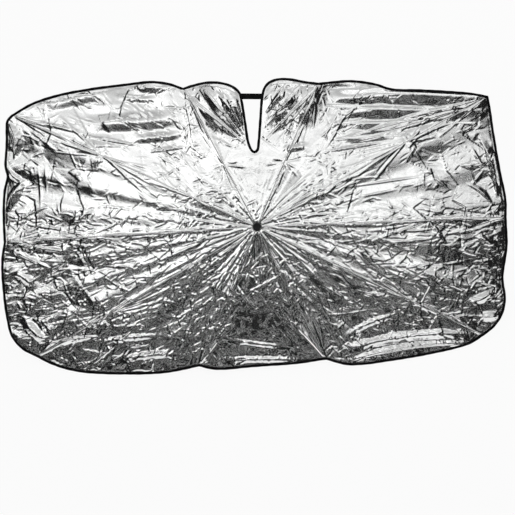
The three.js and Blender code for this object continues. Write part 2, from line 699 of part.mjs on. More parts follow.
// The notched panel has the same rings, but beyond the notch's ring it goes on in two flaps
function notchedPanel( index, hem ) {

	const rib = RIBS[ index ];
	const next = RIBS[ ( index + 1 ) % RIBS.length ];
	const rise = HEM_RING - NOTCH_RING;
	const rightHem = hem.slice( 0, NOTCH_RIGHT_FLAP.length + 2 );
	const leftHem = hem.slice( - NOTCH_LEFT_FLAP.length - 2 );
	const rightEdge = hem.slice( rightHem.length - 1, rightHem.length + rise ).reverse();
	const toe = hem.slice( rightHem.length + rise, rightHem.length + rise + 3 );
	const leftEdge = hem.slice( rightHem.length + rise + 3, rightHem.length + 2 * rise + 4 );
	const rings = ringRadii( rib, rightHem[ 0 ].length() );
	const lastRings = ringRadii( next, leftHem.at( - 1 ).length() );
	const ringPoint = ( radius, turn ) =>
		new THREE.Vector2( Math.cos( turn ) * radius, Math.sin( turn ) * radius );
	const foot = ( flap, edge, radius, backwards ) => flap.map( ( point, i ) => {

		const share = i / ( flap.length - 1 );
		if ( share === ( backwards ? 0 : 1 ) ) return edge[ 0 ].clone();
		const turn = point.angle();
		return ringPoint( mix( radius, edge[ 0 ].length(), backwards ? 1 - share : share ), turn );

	} );
	const rightFoot = foot( rightHem, rightEdge, rings[ NOTCH_RING ], false );
	const leftFoot = foot( leftHem, leftEdge, lastRings[ NOTCH_RING ], true );
	const bottom = [ ...rightFoot, ...toe, ...leftFoot ];
	const shares = sharesOf( bottom, index );
	const lastColumn = bottom.length - 1;
	return rings.map( ( radius, ring ) => bottom.map( ( point, column ) => {

		const inRight = column < rightHem.length;
		const inLeft = column >= rightHem.length + toe.length;
		let flat = point.clone();
		if ( ring <= NOTCH_RING ) flat.multiplyScalar( radius / rings[ NOTCH_RING ] );
		if ( ring > NOTCH_RING ) {

			if ( ! inRight && ! inLeft ) return null;
			const fromLeft = column - rightHem.length - toe.length;
			const end = inRight ? rightHem[ column ] : leftHem[ fromLeft ];
			const here = inRight ? rings : lastRings;
			const span = here[ HEM_RING ] - here[ NOTCH_RING ];
			flat.lerp( end, ( here[ ring ] - here[ NOTCH_RING ] ) / span );
			if ( column === rightHem.length - 1 ) flat = rightEdge[ ring - NOTCH_RING ].clone();
			if ( fromLeft === 0 ) flat = leftEdge[ ring - NOTCH_RING ].clone();

		}

		if ( column === 0 ) flat = besideRib( flat, rib, 1 );
		if ( column === lastColumn ) flat = besideRib( flat, next, - 1 );
		const height = canopyHeight( flat.length() ) + foldAt( shares[ column ], ring, index );
		return new THREE.Vector3( flat.x, flat.y, height );

	} ) );

}

// A closed sheet from rings of points, where a missing point leaves its cells out
function sheet( grid, thick ) {

	const rows = grid.length;
	const columns = grid[ 0 ].length;
	const points = [];
	const faces = [];
	const number = grid.map( ( row ) => row.map( ( point ) => {

		if ( ! point ) return - 1;
		points.push( point.x, point.y, point.z + thick / 2, point.x, point.y, point.z - thick / 2 );
		return points.length / 3 - 2;

	} ) );
	const filled = ( r, c ) => r >= 0 && c >= 0 && r < rows - 1 && c < columns - 1 &&
		[ [ r, c ], [ r + 1, c ], [ r, c + 1 ], [ r + 1, c + 1 ] ].every( ( [ i, j ] ) => number[ i ][ j ] >= 0 );
	const wall = ( a, b ) => faces.push( a, a + 1, b, b, a + 1, b + 1 );
	for ( let r = 0; r < rows - 1; r ++ ) {

		for ( let c = 0; c < columns - 1; c ++ ) {

			if ( ! filled( r, c ) ) continue;
			const [ a, b ] = [ number[ r ][ c ], number[ r ][ c + 1 ] ];
			const [ d, e ] = [ number[ r + 1 ][ c ], number[ r + 1 ][ c + 1 ] ];
			faces.push( a, d, e, a, e, b, a + 1, e + 1, d + 1, a + 1, b + 1, e + 1 );
			if ( ! filled( r - 1, c ) ) wall( b, a );
			if ( ! filled( r + 1, c ) ) wall( d, e );
			if ( ! filled( r, c - 1 ) ) wall( a, d );
			if ( ! filled( r, c + 1 ) ) wall( e, b );

		}

	}

	const geometry = new THREE.BufferGeometry();
	geometry.setAttribute( 'position', new THREE.Float32BufferAttribute( points, 3 ) );
	geometry.setIndex( faces );
	return geometry;

}

function hemHeights( centres ) {

	return outlines.flatMap( ( outline, index ) => {

		const height = ringHeights( index, BINDING_WIDE / 2 );
		const shares = sharesOf( outline, index );
		return outline.slice( 0, - 1 ).map( ( _, i ) => {

			if ( index !== NOTCH_GORE ) return height( shares[ i ], HEM_RING );
			return canopyHeight( centres[ tipPlaces[ index ] + i ].length() )
				+ foldAt( shares[ i ], HEM_RING, index );

		} );

	} );

}

// The binding is one tape folded round the whole hem: a closed loop of one section
function binding() {

	const half = BINDING_WIDE / 2;
	const high = BINDING_THICK / 2;
	const section = [ [ - half, - 0.6 * high ], [ 0.4 * half, - high ], [ half, 0 ],
		[ 0.4 * half, high ], [ - half, 0.6 * high ] ];
	const centres = movedIn( half );
	const heights = hemHeights( centres );
	const points = [];
	const faces = [];
	centres.forEach( ( centre, i ) => {

		const { direction, stretch } = outwardAt( i );
		for ( const [ out, up ] of section ) {

			const place = centre.clone().addScaledVector( direction, out * stretch );
			points.push( place.x, place.y, heights[ i ] + up );

		}

		const sides = section.length;
		const next = ( i + 1 ) % centres.length;
		for ( let k = 0; k < sides; k ++ ) {

			const l = ( k + 1 ) % sides;
			const [ a, b, c, d ] = [ i * sides + k, i * sides + l, next * sides + k, next * sides + l ];
			faces.push( a, c, d, a, d, b );

		}

	} );
	const geometry = new THREE.BufferGeometry();
	geometry.setAttribute( 'position', new THREE.Float32BufferAttribute( points, 3 ) );
	geometry.setIndex( faces );
	return geometry;

}

// The hook-and-loop strap that closes the notch's mouth: over the left flap, under the right
function strap( leftEdge, rightEdge ) {

	const over = BINDING_THICK / 2 + RUNNING_GAP;
	const under = - over - STRAP_THICK;
	const left = leftEdge - STRAP_OVER_LEFT;
	const right = rightEdge + STRAP_UNDER_RIGHT;
	const low = [ [ left, over ], [ leftEdge + STRAP_BEND, over ],
		[ rightEdge - STRAP_BEND, under ], [ right, under ] ];
	const high = low.map( ( [ x, z ] ) => [ x, z + STRAP_THICK ] ).reverse();
	return plate( closedShape( [ ...low, ...high ] ), STRAP_WIDE );

}

// Assembly

const shade = new THREE.Group();

function place( parent, name, geometry, finish ) {

	const mesh = new THREE.Mesh( clean( geometry ), new THREE.MeshStandardMaterial( FINISHES[ finish ] ) );
	mesh.name = name;
	mesh.geometry.computeVertexNormals();
	parent.add( mesh );
	return mesh;

}

function hinge( parent, x, z, turn ) {

	const group = new THREE.Group();
	group.position.set( x, 0, z );
	group.rotation.y = turn;
	parent.add( group );
	return group;

}

// Where the stretchers meet the ribs and the runner, in the plane of one rib
const ribTurn = radians( INNER_SLOPE );
const stretcherTop = {
	r: CROWN_PIVOT_R + STRETCHER_ALONG_RIB * Math.cos( ribTurn ) - STRETCHER_BELOW_RIB * Math.sin( ribTurn ),
	z: - STRETCHER_ALONG_RIB * Math.sin( ribTurn ) - STRETCHER_BELOW_RIB * Math.cos( ribTurn ),
};
const stretcherRun = stretcherTop.r - RUNNER_PIVOT_R;
const runnerHeight = stretcherTop.z - Math.sqrt( STRETCHER_LONG ** 2 - stretcherRun ** 2 );
const stretcherTurn = Math.atan2( stretcherTop.z - runnerHeight, - stretcherRun );

place( shade, 'shaft_tube', shaftTube(), 'steel' );
place( shade, 'crown_notch', crownNotch(), 'plastic' );
place( shade, 'crown_wire', crownWire(), 'steel' );
place( shade, 'ferrule_cap', ferruleCap(), 'plastic' );
place( shade, 'handle_grip', handleGrip(), 'plastic' );
place( shade, 'handle_cap', handleCap(), 'plastic' );
place( hinge( shade, 0, runnerHeight, 0 ), 'runner', runner(), 'plastic' );

RIBS.forEach( ( rib, index ) => {

	const number = String( index + 1 ).padStart( 2, '0' );
	const station = new THREE.Group();
	station.rotation.z = radians( rib.azimuth );
	shade.add( station );
	const inner = hinge( station, CROWN_PIVOT_R, 0, ribTurn );
	place( inner, `inner_rib_${ number }`, innerRib(), 'steel' );
	const strut = hinge( inner, STRETCHER_ALONG_RIB, - STRETCHER_BELOW_RIB, stretcherTurn - ribTurn );
	place( strut, `stretcher_${ number }`, stretcher(), 'steel' );
	const middle = hinge( inner, innerLong, 0, radians( MIDDLE_SLOPE - INNER_SLOPE ) );
	if ( ! isLong( rib ) ) {

		place( middle, `short_rib_${ number }`, shortRib( rib.reach ), 'steel' );
		return;

	}

	place( middle, `middle_rib_${ number }`, middleRib(), 'steel' );
	const outer = hinge( middle, middleLong, - secondJointDrop, radians( OUTER_SLOPE - MIDDLE_SLOPE ) );
	place( outer, `outer_rib_${ number }`, outerRib( rib.reach ), 'glassfibre' );

} );

const panelEdge = movedIn( BINDING_WIDE + RUNNING_GAP );
outlines.forEach( ( outline, index ) => {

	const hem = outline.map( ( _, i ) => panelEdge[ ( tipPlaces[ index ] + i ) % panelEdge.length ] );
	const grid = index === NOTCH_GORE ? notchedPanel( index, hem ) : plainPanel( index, hem );
	place( shade, `gore_${ String( index + 1 ).padStart( 2, '0' ) }`, sheet( grid, CANOPY_THICK ), 'foil' );

} );
place( shade, 'edge_binding', binding(), 'webbing' );

// The strap lies along the flaps' slope, across the notch's mouth
const strapSeat = new THREE.Group();
const strapY = NOTCH_RIGHT_MOUTH.y + STRAP_WIDE / 2;
strapSeat.position.set( 0, strapY, canopyHeight( strapY ) );
strapSeat.rotation.x = - radians( MIDDLE_SLOPE );
shade.add( strapSeat );
place( strapSeat, 'notch_strap', strap( NOTCH_LEFT_MOUTH.x, NOTCH_RIGHT_MOUTH.x ), 'webbing' );

// Rest. Laid down open, the shade stands on its lower hem and the end of its handle: on the
// face of its hull that holds both and lies under its weight.
function shadePoints() {

	shade.updateMatrixWorld( true );
	const points = [];
	shade.traverse( ( mesh ) => {

		if ( ! mesh.isMesh ) return;
		const position = mesh.geometry.attributes.position;
		for ( let i = 0; i < position.count; i ++ ) {

			points.push( new THREE.Vector3().fromBufferAttribute( position, i ).applyMatrix4( mesh.matrixWorld ) );

		}

	} );
	return points;

}

const WEIGHT_CENTRE = new THREE.Vector3( 0, 0, - 40 );

function restingFace( points, weight ) {

	for ( const face of new ConvexHull().setFromPoints( points ).faces ) {

		if ( face.normal.y >= 0 ) continue;
		const corners = [];
		let edge = face.edge;
		do {

			corners.push( edge.head().point );
			edge = edge.next;

		} while ( edge !== face.edge );

		const under = corners.every( ( corner, i ) => {

			const side = corners[ ( i + 1 ) % corners.length ].clone().sub( corner );
			return side.cross( weight.clone().sub( corner ) ).dot( face.normal ) >= 0;

		} );
		if ( under && corners.some( ( corner ) => corner.z < HANDLE_CAP_THICK - HANDLE_BOTTOM ) ) return face;

	}

	throw new Error( 'the shade has no face to rest on' );

}

const up = restingFace( shadePoints(), WEIGHT_CENTRE ).normal.clone().negate();
const right = new THREE.Vector3( 1, 0, 0 ).addScaledVector( up, - up.x ).normalize();
const back = up.clone().cross( right );
shade.quaternion.setFromRotationMatrix( new THREE.Matrix4().makeBasis( right, back, up ) ).invert();

const box = new THREE.Box3().setFromPoints( shadePoints() );
const centre = box.getCenter( new THREE.Vector3() );
shade.position.set( - centre.x, - centre.y, - box.min.z );

export default shade;
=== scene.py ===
"""Looks of a folding windscreen sunshade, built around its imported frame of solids.

The cloth is worked out in the shade's own plane: x to the right, y up the windscreen and z out
of the silver face, with the crown at the origin. Lengths are in metres.
"""

import json
import logging
import math
from collections.abc import Callable, Sequence
from dataclasses import dataclass, field
from enum import Enum

import bmesh
import bpy
import numpy as np
from mathutils import Matrix, Vector
from mathutils.geometry import delaunay_2d_cdt


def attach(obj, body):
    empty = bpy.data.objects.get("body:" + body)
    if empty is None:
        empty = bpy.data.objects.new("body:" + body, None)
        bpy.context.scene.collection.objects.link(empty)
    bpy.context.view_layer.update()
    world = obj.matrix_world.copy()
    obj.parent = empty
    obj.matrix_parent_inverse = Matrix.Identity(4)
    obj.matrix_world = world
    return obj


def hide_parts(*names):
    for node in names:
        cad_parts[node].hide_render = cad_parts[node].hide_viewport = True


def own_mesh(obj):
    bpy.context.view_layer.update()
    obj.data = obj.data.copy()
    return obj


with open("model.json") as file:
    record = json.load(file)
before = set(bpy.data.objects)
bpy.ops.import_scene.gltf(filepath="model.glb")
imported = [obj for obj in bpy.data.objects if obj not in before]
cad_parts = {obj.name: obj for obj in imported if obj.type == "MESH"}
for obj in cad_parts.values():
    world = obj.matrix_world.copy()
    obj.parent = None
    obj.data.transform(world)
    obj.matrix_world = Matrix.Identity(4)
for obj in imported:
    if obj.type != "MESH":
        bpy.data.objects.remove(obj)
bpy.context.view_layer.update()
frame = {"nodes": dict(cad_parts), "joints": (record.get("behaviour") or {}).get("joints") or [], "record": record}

LOG = logging.getLogger("sunshade")

Array = np.ndarray
Point = tuple[float, float]


# Shared dimensions of the cloth and its frame


@dataclass(frozen=True)
class Rib:
    """One rib of the frame, counter-clockwise from the right as seen from the silver side."""

    number: int
    azimuth_deg: float
    reach: float

    @property
    def label(self) -> str:
        """The two digits that end the names of this rib's nodes."""
        return f"{self.number:02d}"

    @property
    def azimuth(self) -> float:
        """The rib's direction, in radians."""
        return math.radians(self.azimuth_deg)

    @property
    def is_long(self) -> bool:
        """Whether the rib has a third link."""
        return self.reach > SECOND_JOINT_R + 0.05

    @property
    def direction(self) -> Array:
        """Unit vector along the rib, in the shade's plane."""
        return np.array([math.cos(self.azimuth), math.sin(self.azimuth)])

    @property
    def tip(self) -> Array:
        """Where the rib meets the hem, in the shade's plane."""
        return self.direction * self.reach

    @property
    def links(self) -> list[str]:
        """The frame's bodies along this rib, from the crown outwards."""
        if self.is_long:
            return [f"{part}_rib_{self.label}" for part in ("inner", "middle", "outer")]
        return [f"{part}_rib_{self.label}" for part in ("inner", "short")]


MERGE = 1e-6  # points nearer than this are one
FIRST_JOINT_R = 0.194
SECOND_JOINT_R = 0.471
CROWN_PIVOT_R = 0.009

RIBS = [
    Rib(1, 2.3, 0.690),
    Rib(2, 29.6, 0.734),
    Rib(3, 67.0, 0.430),
    Rib(4, 118.0, 0.433),
    Rib(5, 155.4, 0.747),
    Rib(6, 183.4, 0.701),
    Rib(7, 210.4, 0.708),
    Rib(8, 247.4, 0.415),
    Rib(9, 297.5, 0.411),
    Rib(10, 334.5, 0.695),
]

# Hem between each rib and the next: share of the chord, and how far it stands out beyond it
HEM = [
    [(0.14, 0.007), (0.42, 0.003), (0.67, 0.002), (0.93, 0.002)],
    [(0.1, 0.005), (0.38, 0.004), (0.57, 0.001), (0.66, 0.011), (0.8, 0.015), (0.9, 0.009)],
    [],
    [(0.07, 0.018), (0.17, 0.032), (0.35, 0.037), (0.54, 0.039), (0.72, 0.036), (0.87, 0.024)],
    [(0.05, 0.013), (0.22, 0.012), (0.41, 0.011), (0.48, 0.004), (0.6, 0.010), (0.84, 0.007)],
    [(0.14, 0.020), (0.35, 0.037), (0.63, 0.051), (0.78, 0.051), (0.91, 0.031)],
    [(0.11, 0.021), (0.28, 0.036), (0.62, 0.033), (0.81, 0.023), (0.91, 0.012)],
    [(0.13, 0.012), (0.45, 0.010), (0.76, 0.008)],
    [(0.11, 0.022), (0.2, 0.029), (0.46, 0.031), (0.71, 0.028), (0.91, 0.017)],
    [(0.09, 0.025), (0.2, 0.040), (0.33, 0.041), (0.5, 0.024), (0.77, 0.018)],
]

# Points of the hem round the mirror notch, from the right-hand rib to the left-hand one
NOTCH_GORE = 2
NOTCH = [
    (0.132, 0.400), (0.085, 0.408), (0.054, 0.407), (0.031, 0.398), (0.017, 0.381),
    (0.010, 0.350), (0.0055, 0.291), (0.001, 0.232), (-0.002, 0.212), (-0.007, 0.208),
    (-0.012, 0.212), (-0.020, 0.230), (-0.0295, 0.288), (-0.039, 0.346), (-0.044, 0.366),
    (-0.060, 0.383), (-0.088, 0.395), (-0.135, 0.399), (-0.176, 0.391),
]


def unit(vector: Array) -> Array:
    """The vector at length one."""
    return vector / np.linalg.norm(vector)


def smoothstep(value: Array) -> Array:
    """Eases a value from 0 to 1, held at both ends."""
    held = np.clip(value, 0.0, 1.0)
    return held * held * (3.0 - 2.0 * held)


@dataclass
class ShadeSpace:
    """Where the shade's own plane lies in the row frame, read from the frame's joints."""

    crown: Array = field(init=False)
    axes: Array = field(init=False)

    def __post_init__(self) -> None:
        """Reads the shaft's direction and the crown's place from the joints."""
        joints = {joint["name"]: joint for joint in frame["joints"]}
        out = -np.array(joints["runner_slide"]["axis"])
        right = unit(np.array([out[2], 0.0, -out[0]]))
        hinges = [joints[f"inner_rib_{rib.label}_fold"]["pos_m"] for rib in RIBS]
        seats = [rib.direction * CROWN_PIVOT_R for rib in RIBS]
        self.axes = np.array([right, np.cross(out, right), out])
        offset = np.mean(np.array(hinges), axis=0)
        self.crown = offset - np.append(np.mean(seats, axis=0), 0.0) @ self.axes

    def to_row(self, points: Array) -> Array:
        """Moves points from the shade's space to the row frame.

        Args:
            points: Rows of x, y, z in the shade's space.

        Returns:
            The same points in the row frame.
        """
        return points @ self.axes + self.crown

    def direction(self, vector: Sequence[float]) -> Vector:
        """Turns a direction of the shade's space into one of the row frame."""
        return Vector(np.array(vector) @ self.axes)

    def matrix(self) -> Matrix:
        """The transform from the shade's space to the row frame."""
        turn = Matrix([list(row) for row in self.axes]).transposed().to_4x4()
        return Matrix.Translation(Vector(self.crown)) @ turn


# Nodes and finishes


@dataclass(frozen=True)
class NodeKit:
    """Short ways to place and join shader nodes in the tree of a material or a group."""

    tree: bpy.types.NodeTree

    # Colour sockets of the Mix node, which shares its sockets' names among several kinds
    MIX_COLOURS = (6, 7)
    MIX_RESULT = 2

    def add(self, kind: str, inputs: dict | None = None, **settings: object) -> bpy.types.Node:
        """Adds a node.

        Args:
            kind: The node's type.
            inputs: Values or sockets for its inputs, by name or number.
            settings: Attributes of the node.

        Returns:
            The new node.
        """
        node = self.tree.nodes.new(kind)
        for name, value in settings.items():
            setattr(node, name, value)
        for name, value in (inputs or {}).items():
            if isinstance(value, bpy.types.NodeSocket):
                self.tree.links.new(value, node.inputs[name])
            else:
                node.inputs[name].default_value = value
        return node

    def math(self, operation: str, first: object, second: object = 0.0) -> bpy.types.NodeSocket:
        """Adds a Math node and returns its output."""
        return self.add("ShaderNodeMath", {0: first, 1: second}, operation=operation).outputs[0]

    def spread(self, value: object, low: float, high: float, to_low: float = 0.0,
               to_high: float = 1.0) -> bpy.types.NodeSocket:
        """Maps a range of values onto another, held at both ends.

        Args:
            value: A value or a socket.
            low: Start of its range.
            high: End of its range.
            to_low: What the start becomes.
            to_high: What the end becomes.

        Returns:
            The socket of the mapped value.
        """
        node = self.add("ShaderNodeMapRange", {
            "Value": value, "From Min": low, "From Max": high, "To Min": to_low, "To Max": to_high})
        return node.outputs["Result"]

    def blend(self, factor: object, first: object, second: object) -> bpy.types.NodeSocket:
        """Mixes two colours.

        Args:
            factor: Share of the second colour.
            first: A colour or a socket.
            second: The other colour or socket.

        Returns:
            The socket of the mixed colour.
        """
        node = self.add("ShaderNodeMix", {"Factor": factor}, data_type="RGBA")
        for number, value in zip(self.MIX_COLOURS, (first, second)):
            socket = node.inputs[number]
            if isinstance(value, bpy.types.NodeSocket):
                self.tree.links.new(value, socket)
            else:
                socket.default_value = (*value, 1.0) if len(value) == 3 else value
        return node.outputs[self.MIX_RESULT]

    def noise(self, vector: object, scale: float, detail: float = 4.0, rough: float = 0.55,
              distortion: float = 0.0) -> bpy.types.NodeSocket:
        """Adds a Noise Texture.

        Args:
            vector: The socket of the places that it is read at.
            scale: Its scale.
            detail: Its number of finer octaves.
            rough: How strong the finer octaves are.
            distortion: How far it is warped.

        Returns:
            The socket of its value.
        """
        node = self.add("ShaderNodeTexNoise", {
            "Vector": vector, "Scale": scale, "Detail": detail, "Roughness": rough,
            "Distortion": distortion})
        return node.outputs["Fac"]

    def bump(self, height: object, strength: float, distance: float,
             normal: object | None = None) -> bpy.types.NodeSocket:
        """Adds a Bump node.

        Args:
            height: The socket of the heights.
            strength: Share of the bump that is kept.
            distance: How high a height of one is, in metres.
            normal: The socket of a bump that this one lies on.

        Returns:
            The socket of the bumped normal.
        """
        inputs = {"Height": height, "Strength": strength, "Distance": distance}
        if normal is not None:
            inputs["Normal"] = normal
        return self.add("ShaderNodeBump", inputs).outputs["Normal"]


def new_group(name: str, inputs: dict[str, tuple[str, object]], outputs: dict[str, str],
              ) -> tuple[bpy.types.NodeTree, bpy.types.Node, bpy.types.Node]:
    """Makes an empty shader node group with its sockets.

    Args:
        name: The group's name.
        inputs: Socket kind and default for each input.
        outputs: Socket kind for each output.

    Returns:
        The group's tree, its input node and its output node.
    """
    tree = bpy.data.node_groups.new(name, "ShaderNodeTree")
    for label, (kind, default) in inputs.items():
        socket = tree.interface.new_socket(label, in_out="INPUT", socket_type=kind)
        if default is not None:
            socket.default_value = default
    for label, kind in outputs.items():
        tree.interface.new_socket(label, in_out="OUTPUT", socket_type=kind)
    return tree, tree.nodes.new("NodeGroupInput"), tree.nodes.new("NodeGroupOutput")


def crinkle_group() -> bpy.types.NodeTree:
    """Fine creases of a coated cloth: straight ridges of two sizes over a soft unevenness.

    Returns:
        A group that puts out a height and a mask of rubbed patches.
    """
    tree, given, result = new_group(
        "fine_crinkle",
        {"Vector": ("NodeSocketVector", None), "Scale": ("NodeSocketFloat", 60.0)},
        {"Height": "NodeSocketFloat", "Rub": "NodeSocketFloat"})
    kit = NodeKit(tree)
    warp = kit.add("ShaderNodeTexNoise", {
        "Vector": given.outputs["Vector"], "Scale": 18.0, "Detail": 2.0})
    moved = kit.add("ShaderNodeVectorMath", {
        0: given.outputs["Vector"], 1: warp.outputs["Color"], 2: (0.02, 0.02, 0.02)},
        operation="MULTIPLY_ADD").outputs[0]
    heights = []
    for share, weight in ((1.0, 0.6), (2.3, 0.3)):
        cells = kit.add("ShaderNodeTexVoronoi", {
            "Vector": moved, "Scale": kit.math("MULTIPLY", given.outputs["Scale"], share),
            "Randomness": 1.0}, feature="DISTANCE_TO_EDGE")
        ridge = kit.spread(cells.outputs["Distance"], 0.0, 0.22, to_low=1.0, to_high=0.0)
        heights.append(kit.math("MULTIPLY", ridge, weight))
    soft = kit.noise(given.outputs["Vector"], scale=140.0, detail=3.0, rough=0.6)
    total = kit.math("ADD", kit.math("ADD", heights[0], heights[1]),
                     kit.math("MULTIPLY", soft, 0.5))
    tree.links.new(total, result.inputs["Height"])
    patches = kit.noise(given.outputs["Vector"], scale=9.0, detail=5.0, rough=0.65)
    tree.links.new(kit.spread(patches, 0.35, 0.75), result.inputs["Rub"])
    return tree


def weave_group() -> bpy.types.NodeTree:
    """Plain weave: crossing threads.

    Returns:
        A group that puts out a height and the yarn's unevenness.
    """
    tree, given, result = new_group(
        "plain_weave",
        {"Vector": ("NodeSocketVector", None), "Threads": ("NodeSocketFloat", 1500.0)},
        {"Height": "NodeSocketFloat", "Yarn": "NodeSocketFloat"})
    kit = NodeKit(tree)
    parts = kit.add("ShaderNodeSeparateXYZ", {0: given.outputs["Vector"]})
    waves = [
        kit.math("SINE", kit.math("MULTIPLY", parts.outputs[axis], given.outputs["Threads"]))
        for axis in (0, 1)]
    tree.links.new(kit.math("MULTIPLY", waves[0], waves[1]), result.inputs["Height"])
    yarn = kit.noise(given.outputs["Vector"], scale=45.0, detail=5.0, rough=0.6)
    tree.links.new(yarn, result.inputs["Yarn"])
    return tree


class Groups:
    """The node groups that several finishes share, each made once."""

    made: dict[str, bpy.types.NodeTree] = {}

    @classmethod
    def get(cls, maker: Callable[[], bpy.types.NodeTree]) -> bpy.types.NodeTree:
        """Gives the group that a function makes, making it the first time.

        Args:
            maker: The function.

        Returns:
            Its group.
        """
        if maker.__name__ not in cls.made:
            cls.made[maker.__name__] = maker()
        return cls.made[maker.__name__]


@dataclass(frozen=True)
class Finish:
    """A surface finish: the values that every one of them has."""

    name: str
    color: tuple[float, float, float]
    roughness: float
    metallic: float = 0.0
    specular: float = 0.5

    def material(self) -> bpy.types.Material:
        """Gives this finish's material, made once.

        Returns:
            The material.
        """
        known = bpy.data.materials.get(self.name)
        if known is not None:
            return known
        material = bpy.data.materials.new(self.name)
        material.use_nodes = True
        kit = NodeKit(material.node_tree)
        shader = material.node_tree.nodes["Principled BSDF"]
        shader.inputs["Base Color"].default_value = (*self.color, 1.0)
        shader.inputs["Roughness"].default_value = self.roughness
        shader.inputs["Metallic"].default_value = self.metallic
        shader.inputs["Specular IOR Level"].default_value = self.specular
        self.dress(kit, shader)
        return material

    def dress(self, kit: NodeKit, shader: bpy.types.Node) -> None:
        """Joins this finish's own patterns to its shader; plain finishes have none.

        Args:
            kit: The material's nodes.
            shader: Its Principled BSDF.
        """


def link(kit: NodeKit, socket: bpy.types.NodeSocket, shader: bpy.types.Node, name: str) -> None:
    """Joins a socket to one of a shader's inputs, by its name."""
    kit.tree.links.new(socket, shader.inputs[name])


@dataclass(frozen=True)
class FoilFinish(Finish):
    """Silver coating on the cloth: crinkled, with a stitched seam over each rib."""

    bump_m: float = 0.00007
    crinkle_scale: float = 130.0
    seam_half: float = 0.0011
    stitch_pitch: float = 0.0042

    PUCKER = 0.12
    PUCKER_REACH = 5.0
    RUBBED = 0.93

    def dress(self, kit: NodeKit, shader: bpy.types.Node) -> None:
        """Adds crinkles, rubbed patches and the seam.

        Args:
            kit: The material's nodes.
            shader: Its Principled BSDF.
        """
        cloth = kit.add("ShaderNodeUVMap", uv_map="Cloth").outputs["UV"]
        crinkle = kit.add("ShaderNodeGroup", node_tree=Groups.get(crinkle_group))
        crinkle.inputs["Scale"].default_value = self.crinkle_scale
        kit.tree.links.new(cloth, crinkle.inputs["Vector"])
        rub = crinkle.outputs["Rub"]
        rib = kit.add("ShaderNodeSeparateXYZ", {
            0: kit.add("ShaderNodeUVMap", uv_map="Rib").outputs["UV"]})
        across = kit.math("ABSOLUTE", kit.math("SUBTRACT", rib.outputs[1], 0.5))
        seam = kit.spread(across, 0.0, self.seam_half)
        stitch = kit.math("SINE", kit.math("MULTIPLY", rib.outputs[0],
                                           2.0 * math.pi / self.stitch_pitch))
        pucker = kit.math("MULTIPLY", stitch,
                          kit.spread(across, self.seam_half, self.PUCKER_REACH * self.seam_half,
                                     to_low=self.PUCKER, to_high=0.0))
        colour = kit.blend(rub, self.color, tuple(self.RUBBED * part for part in self.color))
        link(kit, colour, shader, "Base Color")
        link(kit, kit.spread(rub, 0.0, 1.0, self.roughness - 0.03, self.roughness + 0.05),
             shader, "Roughness")
        sewn = kit.bump(kit.math("ADD", seam, pucker), strength=0.9, distance=0.0007)
        fine = kit.bump(crinkle.outputs["Height"], strength=1.0, distance=self.bump_m, normal=sewn)
        link(kit, fine, shader, "Normal")


@dataclass(frozen=True)
class WovenFinish(Finish):
    """Woven cloth or tape, patterned along the piece's own map."""

    threads: float = 1500.0
    weave_m: float = 0.00015

    def dress(self, kit: NodeKit, shader: bpy.types.Node) -> None:
        """Adds the weave and its uneven colour.

        Args:
            kit: The material's nodes.
            shader: Its Principled BSDF.
        """
        cloth = kit.add("ShaderNodeUVMap", uv_map="Cloth").outputs["UV"]
        weave = kit.add("ShaderNodeGroup", node_tree=Groups.get(weave_group))
        weave.inputs["Threads"].default_value = self.threads
        kit.tree.links.new(cloth, weave.inputs["Vector"])
        lighter = tuple(min(1.0, 1.9 * part + 0.01) for part in self.color)
        yarn = kit.spread(weave.outputs["Yarn"], 0.35, 0.7)
        link(kit, kit.blend(yarn, self.color, lighter), shader, "Base Color")
        link(kit, kit.spread(weave.outputs["Yarn"], 0.3, 0.7, self.roughness - 0.08,
                             self.roughness + 0.06), shader, "Roughness")
        threads = kit.bump(weave.outputs["Height"], strength=0.7, distance=self.weave_m)
        link(kit, threads, shader, "Normal")


@dataclass(frozen=True)
class MouldedFinish(Finish):
    """Moulded plastic with a fine spark-eroded grain and light scuffs."""

    grain_scale: float = 2600.0

    def dress(self, kit: NodeKit, shader: bpy.types.Node) -> None:
        """Adds grain and scuffs.

        Args:
            kit: The material's nodes.
            shader: Its Principled BSDF.
        """
        place = kit.add("ShaderNodeTexCoord").outputs["Object"]
        marks = kit.noise(place, scale=55.0, detail=8.0, rough=0.7, distortion=1.5)
        scuff = kit.spread(marks, 0.52, 0.72)
        lighter = tuple(min(1.0, 2.2 * part + 0.012) for part in self.color)
        link(kit, kit.blend(scuff, self.color, lighter), shader, "Base Color")
        link(kit, kit.spread(scuff, 0.0, 1.0, self.roughness, self.roughness + 0.14),
             shader, "Roughness")
        grain = kit.noise(place, scale=self.grain_scale, detail=2.0)
        link(kit, kit.bump(grain, strength=0.35, distance=0.00012), shader, "Normal")


@dataclass(frozen=True)
class PlatedFinish(Finish):
    """Rolled and plated steel strip: drawn streaks, dull spots and a little handling wear."""

    streak_scale: float = 900.0

    def dress(self, kit: NodeKit, shader: bpy.types.Node) -> None:
        """Adds the streaks and the dull spots.

        Args:
            kit: The material's nodes.
            shader: Its Principled BSDF.
        """
        place = kit.add("ShaderNodeTexCoord").outputs["Object"]
        streaks = kit.noise(place, scale=self.streak_scale, detail=3.0, rough=0.6, distortion=0.4)
        spots = kit.spread(kit.noise(place, scale=130.0, detail=6.0, rough=0.7), 0.5, 0.75)
        darker = tuple(0.55 * part for part in self.color)
        link(kit, kit.blend(spots, self.color, darker), shader, "Base Color")
        total = kit.math("ADD", kit.math("MULTIPLY", streaks, 0.18),
                         kit.math("MULTIPLY", spots, 0.16))
        link(kit, kit.math("ADD", total, self.roughness - 0.08), shader, "Roughness")
        link(kit, kit.bump(streaks, strength=0.25, distance=0.00008), shader, "Normal")


